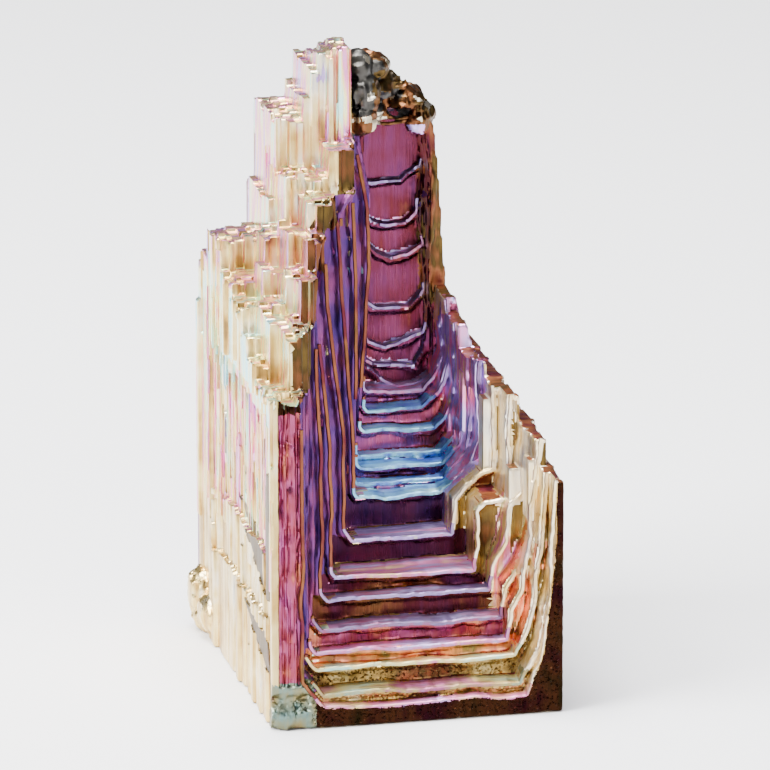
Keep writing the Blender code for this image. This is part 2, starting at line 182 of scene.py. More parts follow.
# Teeth that stand into the pit: (x, x, y, y, z, z) of each
TEETH = (
    (17.6, 20.4, 8.3, 10.8, 8.0, 14.2),
    (19.6, 21.3, 6.6, 8.0, 12.0, 17.4),
    (20.4, 21.9, 3.9, 5.6, 14.0, 18.8),
    (18.7, 20.4, 11.3, 12.9, 15.6, 21.6),
    (18.2, 19.6, 16.2, 17.4, 17.6, 22.4),
)
# Rough metal: (centre, radii, roughness) of the crust on the peak, the melt at the rear left
# foot and the crumbly front corner
LUMPS = (
    ((12.3, 23.6, 45.2), (1.5, 1.8, 1.2), 0.18),
    ((13.6, 24.4, 43.5), (1.6, 2.1, 1.1), 0.24),
    ((15.3, 24.6, 42.3), (1.5, 1.9, 1.0), 0.24),
    ((16.5, 24.6, 40.9), (1.2, 1.7, 1.3), 0.22),
    ((11.9, 23.0, 43.9), (1.0, 1.2, 1.4), 0.22),
    ((12.9, 23.6, 41.7), (0.9, 1.2, 0.9), 0.22),
    ((0.6, 26.8, 3.1), (2.0, 1.8, 2.0), 0.1),
    ((0.6, 24.2, 2.0), (1.5, 2.2, 1.7), 0.1),
    ((0.7, 26.4, 1.0), (1.5, 2.0, 1.4), 0.1),
    ((11.3, 22.0, 45.5), (1.1, 1.5, 1.5), 0.1),
    ((11.6, 21.4, 43.6), (1.2, 1.3, 1.6), 0.18),
    ((11.3, 21.0, 41.6), (1.1, 1.2, 1.2), 0.18),
    ((1.0, 1.1, 1.0), (1.1, 1.0, 1.4), 0.16),
    ((2.5, 0.95, 0.5), (1.2, 0.85, 0.9), 0.16),
    ((0.9, 1.2, 2.9), (0.85, 0.9, 0.9), 0.16),
)
# The hole through the crust: (x, z) of its middle and its half width and half height
HOLE = ((14.9, 41.45), (0.85, 0.42))


# ---------------------------------------------------------------- random fields


class Waves:
    """Smooth random numbers over the crystal, the same on each run."""

    def __init__(self, seed: int) -> None:
        """Shuffles the lattice.

        Args:
            seed: which lattice to use.
        """
        rng = np.random.default_rng(seed)
        self.order = rng.permutation(256)
        self.value = rng.uniform(-1.0, 1.0, 256).astype(np.float32)

    def at(self, *axes: np.ndarray) -> np.ndarray:
        """Reads the field.

        Args:
            axes: one to three coordinates that broadcast together.

        Returns:
            Values from -1 to 1.
        """
        cells = [np.floor(axis).astype(np.int32) for axis in axes]
        parts = [axis - cell for axis, cell in zip(axes, cells)]
        parts = [part * part * (3 - 2 * part) for part in parts]
        total = 0.0
        for corner in range(2 ** len(axes)):
            weight, key = 1.0, 0
            for axis, (cell, part) in enumerate(zip(cells, parts)):
                high = corner >> axis & 1
                weight = weight * (part if high else 1 - part)
                key = self.order[(key + cell + high) & 255]
            total = total + weight * self.value[key]
        return total


def distance_to(outline: Outline, x: np.ndarray, z: np.ndarray) -> np.ndarray:
    """Distance from a closed outline.

    Args:
        outline: its corners in order.
        x: where to measure, across.
        z: where to measure, up.

    Returns:
        Millimetres, negative inside the outline.
    """
    nearest = np.full(np.broadcast(x, z).shape, 1e9)
    inside = np.zeros(nearest.shape, bool)
    for (ax, az), (bx, bz) in zip(outline, outline[1:] + outline[:1]):
        ex, ez = bx - ax, bz - az
        along = np.clip(((x - ax) * ex + (z - az) * ez) / (ex * ex + ez * ez), 0, 1)
        nearest = np.minimum(nearest, (x - ax - ex * along) ** 2 + (z - az - ez * along) ** 2)
        if ez:
            inside ^= ((az <= z) != (bz <= z)) & (x - ax < ex * (z - az) / ez)
    return np.where(inside, -1, 1) * np.sqrt(nearest)


# ---------------------------------------------------------------- crystal shape


def side_at(sides: tuple, depth: float) -> tuple:
    """What a table that starts anew at certain depths says at one depth."""
    return [entry for start, entry in sides if start <= depth][-1]


def across_at(corners: tuple, z: np.ndarray | float) -> np.ndarray | float:
    """x at the heights z of a line through (x, z) corners."""
    return np.interp(z, [height for _, height in corners], [x for x, _ in corners])


def opening(index: int, depth: float) -> Outline:
    """The opening of one growth frame.

    Args:
        index: the frame's number from the front.
        depth: where along y it is cut.

    Returns:
        The outline, clockwise from the upper left.
    """
    floor = FLOORS[index]
    fill, wall = LEFT_WALLS[index]
    inner, fill_top = wall[0][0], floor + fill * FILL_SLOPE
    side = side_at(LEFT_SIDES, depth)
    left_top = side[-1][1]
    right_top = side_at(RIGHT_SIDES, depth)[-1][1]
    rising = [corner for corner in wall if fill_top < corner[1] < left_top - 0.3]
    head = max(across_at(wall, left_top), side[-1][0] + THINNEST)
    left = [(head, OPEN), (head, left_top), *reversed(rising), (inner, fill_top), (inner + fill, floor)]
    (foot, _), *corners, (last, _) = RIGHT_WALLS[index]
    return [*left, (foot, floor), *corners, (last, right_top), (OPEN, right_top), (OPEN, OPEN)]


@dataclass(frozen=True)
class Stage:
    """One step of the pit: what is open in front of the plane at its far end."""

    start: float
    end: float
    outline: tuple
    lipped: bool
    rise: float
    wander: float


def pit_stages() -> list[Stage]:
    """The steps of the pit.

    Returns:
        The growth frames, front to back, and then the ledges of the back wall.
    """
    starts = sorted({*FRONTS[:-1], *(start for start, _ in LEFT_SIDES + RIGHT_SIDES)})
    stages = []
    for start, end in zip(starts, starts[1:] + [PIT_BACK]):
        index = max(i for i, front in enumerate(FRONTS[:-1]) if front <= start)
        stages.append(Stage(start, end, tuple(opening(index, start)), start in FRONTS, 0.2, 0.16))
    for step, ledge in enumerate(LEDGES, 1):
        left, right = 12.2 + 0.3 * math.sin(step * 1.7), 17.3 - 0.07 * step
        sag = 0.35 * math.sin(step * 2.6)
        arch, shoulder = RECESS_TOP + 0.1 * step, max(ledge, 35.0) + 1.2
        outline = (
            (12.2, arch - 1.0), (12.1, shoulder), (left, ledge + 1.1 + sag), (left + 0.9, ledge + 0.25),
            (left + 2.3, ledge - 0.1 - sag), (right - 1.0, ledge), (right, ledge + 0.9 - sag),
            (17.2, shoulder), (16.8, arch - 0.8), (15.6, arch), (13.2, arch),
        )
        start = PIT_BACK + LEDGE_STEP * (step - 1)
        stages.append(Stage(start, start + LEDGE_STEP, outline, True, 0.3, 0.3))
    return stages


def stray_of(number: int, x: np.ndarray, z: np.ndarray, amount: float) -> tuple[np.ndarray, np.ndarray]:
    """How far the edges of one stage stray from straight.

    Args:
        number: the stage, so that each strays its own way.
        x: where, across.
        z: where, up.
        amount: the size of the slow waves, in mm.

    Returns:
        The offsets across and up.
    """
    across, up = Waves(5), Waves(6)
    wx = amount * across.at(x * 0.55 + number * 7.3, z * 0.4) + 0.05 * across.at(x * 2.1, z * 1.7 + number)
    wz = amount * up.at(x * 0.45 + number * 3.1, z * 0.6) + 0.04 * up.at(x * 2.3 + number, z * 2.0)
    calm = 1 - 0.75 * np.clip((12.4 - x) / 1.5, 0, 1) * np.clip((z - 15.0) / 6.0, 0, 1)
    return wx * calm, wz * calm


@dataclass
class CrystalBody:
    """The crystal itself, taken from a field that is negative in the metal."""

    pitch: float = 0.15  # grid spacing
    lip: float = 0.32  # width of the rim around each opening
    sunk: float = 0.28  # how far a frame's face lies behind its rim
    triangles: int = 190_000
    crisp: float = 20.0  # degrees between faces from which an edge is sharp
    seed: int = 83
    stages: list[Stage] = field(default_factory=pit_stages)

    def __post_init__(self) -> None:
        """Lays out the grid."""
        h = self.pitch
        self.x = np.arange(-1.35, WIDTH + 0.3, h)
        self.y = np.arange(-0.35, DEPTH + 0.9, h)
        self.z = np.arange(-0.31, HEIGHT + 0.4, h)
        self.rng = np.random.default_rng(self.seed)

    # ---- the pit

    def pit(self) -> np.ndarray:
        """Hollows the pit out, step by step.

        Returns:
            The field of the pit, negative where it is open.
        """
        x, z = self.x[:, None], self.z[None, :]
        strayed = []
        for number, stage in enumerate(self.stages):
            dx, dz = stray_of(number, x, z, stage.wander)
            strayed.append(distance_to(list(stage.outline), x + dx, z + dz).astype(np.float32))
        result = np.full((len(self.x), len(self.y), len(self.z)), 1.0, np.float32)
        sink = Waves(9)
        for number, stage in enumerate(self.stages):
            hollow = strayed[number]
            face = np.full(hollow.shape, stage.end, np.float32)
            if number + 1 < len(self.stages) and self.stages[number + 1].lipped:
                behind = strayed[number + 1]
                broad = self.lip * (1 + 0.45 * sink.at(x * 0.8 + number * 5.7, z * 0.7))
                deep = self.sunk * (1 + 0.6 * sink.at(x * 0.5, z * 0.5 + number * 2.9))
                face = face + deep * np.clip((behind - broad) / 0.18, 0, 1)
            reach = np.flatnonzero((self.y > stage.start - 1.2) & (self.y < stage.end + 1.2))
            for row in reach:
                y = self.y[row]
                shift = stage.rise * min(max(0.0, y - stage.start), stage.end - stage.start) / self.pitch
                whole, share = int(shift), shift - int(shift)
                moved = np.roll(hollow, whole, 1) * (1 - share) + np.roll(hollow, whole + 1, 1) * share
                result[:, row] = np.minimum(result[:, row], np.maximum(y - face, moved))
        return result

    # ---- the outer faces

    def stepped(self, sides: tuple) -> np.ndarray:
        """An outer side as a height over (y, z); above its top it goes on straight up.

        Args:
            sides: its corner tables.

        Returns:
            x of the face for each y and z.
        """
        face = np.empty((len(self.y), len(self.z)), np.float32)
        for row, y in enumerate(self.y):
            corners = side_at(sides, max(0.0, y))
            tops = [corner[1] + 1e-3 * i for i, corner in enumerate(corners)]
            face[row] = np.interp(self.z, tops, [corner[0] for corner in corners])
        return face

    def striated(self) -> np.ndarray:
        """The left side as upright blades, one beside another.

        Returns:
            x of the face for each y and z.
        """
        face = np.empty((len(self.y), len(self.z)), np.float32)
        low = self.y[0]
        while low < self.y[-1]:
            high = low + self.rng.uniform(0.3, 1.0)
            rows = (self.y >= low) & (self.y < high)
            x = np.full(len(self.z), self.rng.uniform(-0.1, 0.1), np.float32)
            if low > 1.5 and high - low < 0.55:
                x += GAP_DEPTH
            foot = self.rng.uniform(-8.0, 0.0)
            while foot < HEIGHT:
                head = foot + self.rng.uniform(5.0, 18.0)
                x -= self.rng.uniform(-0.12, 0.22) * ((self.z >= foot) & (self.z < head))
                foot = head
            face[rows] = x
            low = high
        return face

    def skyline(self) -> np.ndarray:
        """The columns that the left wall is made of.

        Returns:
            Their heights for each x and y.
        """
        tops = np.full((len(self.x), len(self.y)), OPEN, np.float32)
        west = self.x[0]
        while west < WALL_END:
            east = west + self.rng.uniform(0.35, 0.85)
            columns = (self.x >= west) & (self.x < min(east, WALL_END))
            south = self.y[0] - self.rng.uniform(0, 1.5)
            while south < self.y[-1]:
                north = south + self.rng.uniform(0.5, 1.5)
                rows = (self.y >= south) & (self.y < north)
                middle = min(max(0.0, (south + north) / 2), DEPTH)
                corners = side_at(LEFT_SIDES, middle)
                at = max(0.0, (west + east) / 2)
                step = min([top for x, top in corners if x >= at], default=corners[-1][1])
                slope = np.interp(at, [x for x, _ in corners], [top for _, top in corners])
                height = 0.6 * step + 0.4 * slope
                if at > 7.5:
                    height -= REAR_FALL * max(0.0, middle - REAR_FROM)
                if at < 3.4 and middle > REAR_SHELF[0][0]:
                    height = side_at(REAR_SHELF, middle)
                uneven = 0.25 if at > 7.0 else 0.36
                tops[np.ix_(columns, rows)] = height + uneven * self.rng.uniform(-1.0, 0.9)
                south = north
            west = east
        beside = (self.x >= WALL_END) & (self.x < BREAK[0][0])
        tops[np.ix_(beside, self.y < PIT_BACK - 0.7)] = CRUST_FOOT
        tops[np.ix_(beside, self.y >= PIT_BACK - 0.7)] = CRUST_HEAD
        return tops

    def blades(self, face: np.ndarray, along: np.ndarray, count: int, out: float) -> None:
        """Raises upright growth ridges on a face that looks to higher values, and cuts slots.

        Args:
            face: the face's height, changed in place.
            along: the horizontal coordinate of its first axis.
            count: how many ridges.
            out: how far the proudest stands out.
        """
        for _ in range(count):
            start = self.rng.uniform(along[0], along[-1])
            rows = (along > start) & (along < start + self.rng.uniform(0.2, 1.0))
            foot = self.rng.uniform(-6.0, 26.0)
            zs = (self.z > foot) & (self.z < foot + self.rng.uniform(4.0, 18.0))
            rise = self.rng.uniform(0.04, out) * (-1 if self.rng.random() < 0.35 else 1)
            face[np.ix_(rows, zs)] += rise

    def recesses(self, face: np.ndarray, along: np.ndarray, steps: tuple, sign: int) -> None:
        """Sinks the nested hopper steps into an outer face.

        Args:
            face: the face's height, changed in place.
            along: the horizontal coordinate of its first axis.
            steps: where each step is and how deep.
            sign: 1 where lower values stand out, -1 where higher ones do.
        """
        base = face.copy()
        wave = Waves(31)
        a, z = along[:, None], self.z[None, :]
        stray = 0.35 * wave.at(a * 0.5, z * 0.35) + 0.1 * wave.at(a * 1.9, z * 1.1)
        for start, end, z_from, z_to, deep in steps:
            inside = (a + stray > start) & (a + stray < end) & (z + stray > z_from) & (z - stray < z_to)
            face[inside] = (base + sign * deep)[inside]

    def outside(self) -> np.ndarray:
        """The outer form, with its striae and hopper steps.

        Returns:
            The field, negative inside it.
        """
        x, y, z = self.x[:, None, None], self.y[None, :, None], self.z[None, None, :]
        left = self.striated()
        smooth = np.zeros_like(left)
        self.recesses(left, self.y, LEFT_RECESS, 1)
        self.recesses(smooth, self.y, LEFT_RECESS, 1)
        for facet in FACETS:
            inside = distance_to(facet, self.y[:, None], self.z[None, :]) < 0
            left[inside] = smooth[inside] - FACET_RISE
        right = self.stepped(RIGHT_SIDES)
        self.recesses(right, self.y, RIGHT_RECESS, -1)
        self.blades(right, self.y, 80, 0.2)
        right = np.minimum(right - 0.2, WIDTH - 0.02)
        back = np.full((len(self.x), len(self.z)), DEPTH - 0.25, np.float32)
        for height, inset in BACK_STEPS:
            back[:, self.z > height] = DEPTH - inset - 0.2
        self.recesses(back, self.x, BACK_RECESS, -1)
        self.blades(back, self.x, 90, 0.3)
        front = self.front()
        result = np.maximum(left[None] - x, x - right[None])
        for beyond in (z - self.skyline()[:, :, None], y - back[:, None], front[:, None] - y, -z):
            result = np.maximum(result, beyond)
        tops = np.minimum(np.interp(self.x, *zip(*BREAK)), CRUST_HEAD) + 0.35 * Waves(12).at(self.x * 1.7)
        above = z - np.where(self.x < BREAK[0][0], OPEN, tops)[:, None, None]
        behind = y - PIT_BACK + 0.1
        return np.where((above > 0) & (behind > 0), np.maximum(result, np.minimum(above, behind)), result)

    def front(self) -> np.ndarray:
        """The front face: pleats up its left edge and a crumbled corner.

        Returns:
            y of the face for each x and z.
        """
        x, z = self.x[:, None], self.z[None, :]
        wave = Waves(14)
        face = np.full((len(self.x), len(self.z)), 0.02, np.float32)
        ridge = x + 0.14 * wave.at(x * 0.4, z * 0.45)
        pleats = 0.2 + 0.11 * np.cos(2 * math.pi * ridge / 0.62) + 0.09 * np.cos(2 * math.pi * ridge / 0.37)
        pleated = (x > 0.35) & (x < 2.3) & (z > 3.4)
        face = np.where(pleated, face + pleats + 0.14 * wave.at(x * 1.6, z * 1.1), face)
        face = face + 0.03 * wave.at(x * 3.1, z * 2.9) + 0.06
        crumbled = np.clip((3.6 - x) / 0.6, 0, 1) * np.clip((3.0 - z) / 0.6, 0, 1)
        pits = 0.3 + 0.35 * wave.at(x * 1.7, z * 1.6 + 9) + 0.2 * wave.at(x * 3.7, z * 3.9)
        return np.maximum(face + crumbled * pits, 0.0).astype(np.float32)

    # ---- lumps and teeth

    def lumps(self, metal: np.ndarray) -> None:
        """Adds teeth, melt and crust to the field in place.

        Args:
            metal: the field, negative in the metal.
        """
        for x0, x1, y0, y1, z0, z1 in TEETH:
            span, (x, y, z) = self.window((x0, y0, z0), (x1, y1, z1), 0.6)
            box = np.maximum(np.maximum(x0 - x, x - x1), np.maximum(y0 - y, y - y1))
            box = np.maximum(box, np.maximum(z0 - z, z - z1))
            metal[span] = np.minimum(metal[span], box)
        wave = Waves(21)
        for centre, radii, rough in LUMPS:
            span, (x, y, z) = self.window(centre, centre, 1.5 * max(radii))
            size = sum(((axis - c) / r) ** 2 for axis, c, r in zip((x, y, z), centre, radii)) ** 0.5
            bumps = wave.at(x * 0.9, y * 0.9, z * 0.9) + 0.9
            bumps = bumps - 1.8 * np.abs(wave.at(x * 1.6, y * 1.6, z * 1.6))
            ball = (size - 1 - rough * bumps) * min(radii)
            metal[span] = np.minimum(metal[span], np.maximum(ball, -z))

    def window(self, low: tuple, high: tuple, margin: float) -> tuple:
        """A block of the grid.

        Args:
            low: its lowest corner.
            high: its highest corner.
            margin: how much is added all round.

        Returns:
            The slices and the coordinates inside them.
        """
        spans, axes = [], []
        for axis, (a, b, line) in enumerate(zip(low, high, (self.x, self.y, self.z))):
            inside = np.flatnonzero((line > a - margin) & (line < b + margin))
            spans.append(slice(inside[0], inside[-1] + 1))
            shape = [1, 1, 1]
            shape[axis] = -1
            axes.append(line[spans[-1]].reshape(shape))
        return tuple(spans), axes

    def metal(self) -> np.ndarray:
        """Puts the outer form, the pit, the lumps and the hole together.

        Returns:
            The whole field, negative in the metal.
        """
        outer = self.outside()
        hollow = np.maximum(outer, -self.pit())
        self.lumps(hollow)
        x, y, z = self.x[:, None, None], self.y[None, :, None], self.z[None, None, :]
        (hx, hz), (rx, rz) = HOLE
        hole = (1 - np.sqrt(((x - hx) / rx) ** 2 + ((z - hz - 0.15 * np.sin(x * 2)) / rz) ** 2)) * rz
        hollow = np.where(y > PIT_BACK - 4, np.maximum(hollow, hole), hollow)
        hollow = np.maximum(hollow, np.maximum(z - HEIGHT + 0.03, -1.15 - x))
        edge = np.ones(hollow.shape, bool)
        edge[1:-1, 1:-1, 1:-1] = False
        hollow[edge] = np.maximum(hollow[edge], 0.05)
        return hollow

    # ---- mesh

    def surface(self) -> tuple[np.ndarray, np.ndarray]:
        """Skins the field with one point in each cell that the surface crosses.

        Returns:
            Points in millimetres, and quads that index them.
        """
        f = self.metal()
        inside = f < 0
        shape = tuple(n - 1 for n in f.shape)
        count = np.zeros(shape, np.uint8)
        corners = [(i, j, k) for i in (0, 1) for j in (0, 1) for k in (0, 1)]
        for i, j, k in corners:
            count += inside[i:shape[0] + i, j:shape[1] + j, k:shape[2] + k]
        cells = np.argwhere((count > 0) & (count < 8))
        number = np.full(shape, -1, np.int32)
        number[tuple(cells.T)] = np.arange(len(cells))
        total = np.zeros((len(cells), 3))
        crossings = np.zeros(len(cells))
        for a in corners:
            for axis in range(3):
                if a[axis]:
                    continue
                b = tuple(v + (i == axis) for i, v in enumerate(a))
                fa = f[tuple((cells + a).T)]
                fb = f[tuple((cells + b).T)]
                cut = (fa < 0) != (fb < 0)
                share = np.where(cut, fa / np.where(cut, fa - fb, 1), 0)
                point = np.array(a) + share[:, None] * (np.array(b) - np.array(a))
                total += np.where(cut[:, None], point, 0)
                crossings += cut
        points = (cells + total / crossings[:, None]) * self.pitch
        points += (self.x[0], self.y[0], self.z[0])
        quads = []
        for axis in range(3):
            p, q = [i for i in range(3) if i != axis]
            low = [slice(1, -1)] * 3
            high = [slice(1, -1)] * 3
            low[axis], high[axis] = slice(0, -1), slice(1, None)
            a, b = inside[tuple(low)], inside[tuple(high)]
            at = np.argwhere(a != b)
            outward = a[tuple(at.T)]
            at += [0 if i == axis else 1 for i in range(3)]
            step_p, step_q = np.eye(3, dtype=int)[p], np.eye(3, dtype=int)[q]
            ring = [at - step_p - step_q, at - step_q, at, at - step_p]
            quad = np.stack([number[tuple(corner.T)] for corner in ring], 1)
            flip = outward if axis == 1 else ~outward
            quads.append(np.where(flip[:, None], quad[:, ::-1], quad))
        return points, np.concatenate(quads)

    def build(self) -> bpy.types.Object:
        """Makes the crystal's mesh.

        Returns:
            The object.
        """
        points, quads = self.surface()
        LOG.info("grid surface: %d points, %d quads", len(points), len(quads))
        mesh = bpy.data.meshes.new("crystal_body")
        mesh.vertices.add(len(points))
        mesh.vertices.foreach_set("co", to_world(points).astype(np.float32).ravel())
        mesh.loops.add(quads.size)
        mesh.loops.foreach_set("vertex_index", quads.astype(np.int32).ravel())
        mesh.polygons.add(len(quads))
        mesh.polygons.foreach_set("loop_start", np.arange(0, quads.size, 4, dtype=np.int32))
        mesh.update(calc_edges=True)
        mesh.validate()
        body = placed("crystal_body", mesh)
        thin = body.modifiers.new("thin", "DECIMATE")
        thin.ratio = min(1.0, self.triangles / (2 * len(quads)))
        drop_crumbs(baked(body).data)
        body.data.set_sharp_from_angle(angle=math.radians(self.crisp))
        return body


def to_world(points: np.ndarray) -> np.ndarray:
    """Moves points into the shared frame.

    Args:
        points: crystal millimetres.

    Returns:
        Metres in the shared frame.
    """
    low, high = CAD_BOX
    shift = np.array([high[0] / MM - SOLID_RIGHT, low[1] / MM - SOLID_FRONT, 0.0])
    return (points + shift) * MM


def to_crystal(points: np.ndarray) -> np.ndarray:
    """Metres in the shared frame to crystal millimetres."""
    return points / MM - to_world(np.zeros((1, 3))) / MM


def placed(name: str, data: bpy.types.ID) -> bpy.types.Object:
    """Puts an object into the scene.

    Args:
        name: what it is called.
        data: its mesh, light or camera.

    Returns:
        The object.
    """
    obj = bpy.data.objects.new(name, data)
    bpy.context.collection.objects.link(obj)
    return obj


def drop_crumbs(mesh: bpy.types.Mesh) -> None:
    """Deletes every shell of a mesh but the largest.

    Args:
        mesh: the mesh, changed in place.
    """
    ends = np.empty(len(mesh.edges) * 2, np.int32)
    mesh.edges.foreach_get("vertices", ends)
    first, second = ends.reshape(-1, 2).T
    shell = np.arange(len(mesh.vertices))
    while True:
        lower = np.minimum(shell[first], shell[second])
        joined = shell.copy()
        np.minimum.at(joined, first, lower)
        np.minimum.at(joined, second, lower)
        joined = joined[joined]
        if (joined == shell).all():
            break
        shell = joined
    largest = np.bincount(shell).argmax()
    grid = bmesh.new()
    grid.from_mesh(mesh)
    crumbs = [vertex for vertex, name in zip(grid.verts, shell) if name != largest]
    bmesh.ops.delete(grid, geom=crumbs, context="VERTS")
    grid.to_mesh(mesh)
    grid.free()


def baked(obj: bpy.types.Object) -> bpy.types.Object:
    """Turns an object's modifiers into plain mesh and takes them off.

    Args:
        obj: the object, changed in place.

    Returns:
        The same object.
    """
    evaluated = obj.evaluated_get(bpy.context.evaluated_depsgraph_get())
    mesh = bpy.data.meshes.new_from_object(evaluated)
    obj.modifiers.clear()
    obj.data = mesh
    mesh.name = obj.name
    return obj


# ---------------------------------------------------------------- lips


def geometry_tree(name: str, inputs: dict[str, tuple]) -> tuple:
    """Starts a geometry tree that takes a geometry, a material and its own inputs.

    Args:
        name: what it is called.
        inputs: the kind of socket for each of its own inputs, and what that holds until it is set.

    Returns:
        The tree, and its inputs by name.
    """
    tree = bpy.data.node_groups.new(name, "GeometryNodeTree")
    sockets = {"Geometry": ("Geometry", None), **inputs, "Material": ("Material", None)}
    for label, (kind, value) in sockets.items():
        socket = tree.interface.new_socket(label, in_out="INPUT", socket_type=f"NodeSocket{kind}")
        if value is not None:
            socket.default_value = value
    tree.interface.new_socket("Geometry", in_out="OUTPUT", socket_type="NodeSocketGeometry")
    return tree, tree.nodes.new("NodeGroupInput").outputs


def end_tree(tree: bpy.types.NodeTree, made: bpy.types.NodeSocket, metal: bpy.types.NodeSocket) -> None:
    """Ends a geometry tree with one real mesh that wears the metal.

    Args:
        tree: the tree.
        made: what it has made.
        metal: the material.
    """
    whole = add(tree, "GeometryNodeRealizeInstances", {0: made}).outputs[0]
    dressed = add(tree, "GeometryNodeSetMaterial", {"Geometry": whole, "Material": metal}).outputs[0]
    add(tree, "NodeGroupOutput", {0: dressed})


def grown(obj: bpy.types.Object, tree: bpy.types.NodeTree, values: dict) -> bpy.types.Object:
    """Runs a geometry tree on an object and keeps the result as plain mesh.

    Args:
        obj: what the tree starts from.
        tree: the tree.
        values: its inputs by name.

    Returns:
        The object.
    """
    modifier = obj.modifiers.new("grow", "NODES")
    modifier.node_group = tree
    for item in tree.interface.items_tree:
        if item.item_type == "SOCKET" and item.in_out == "INPUT" and item.name in values:
            modifier[item.identifier] = values[item.name]
    return baked(obj)


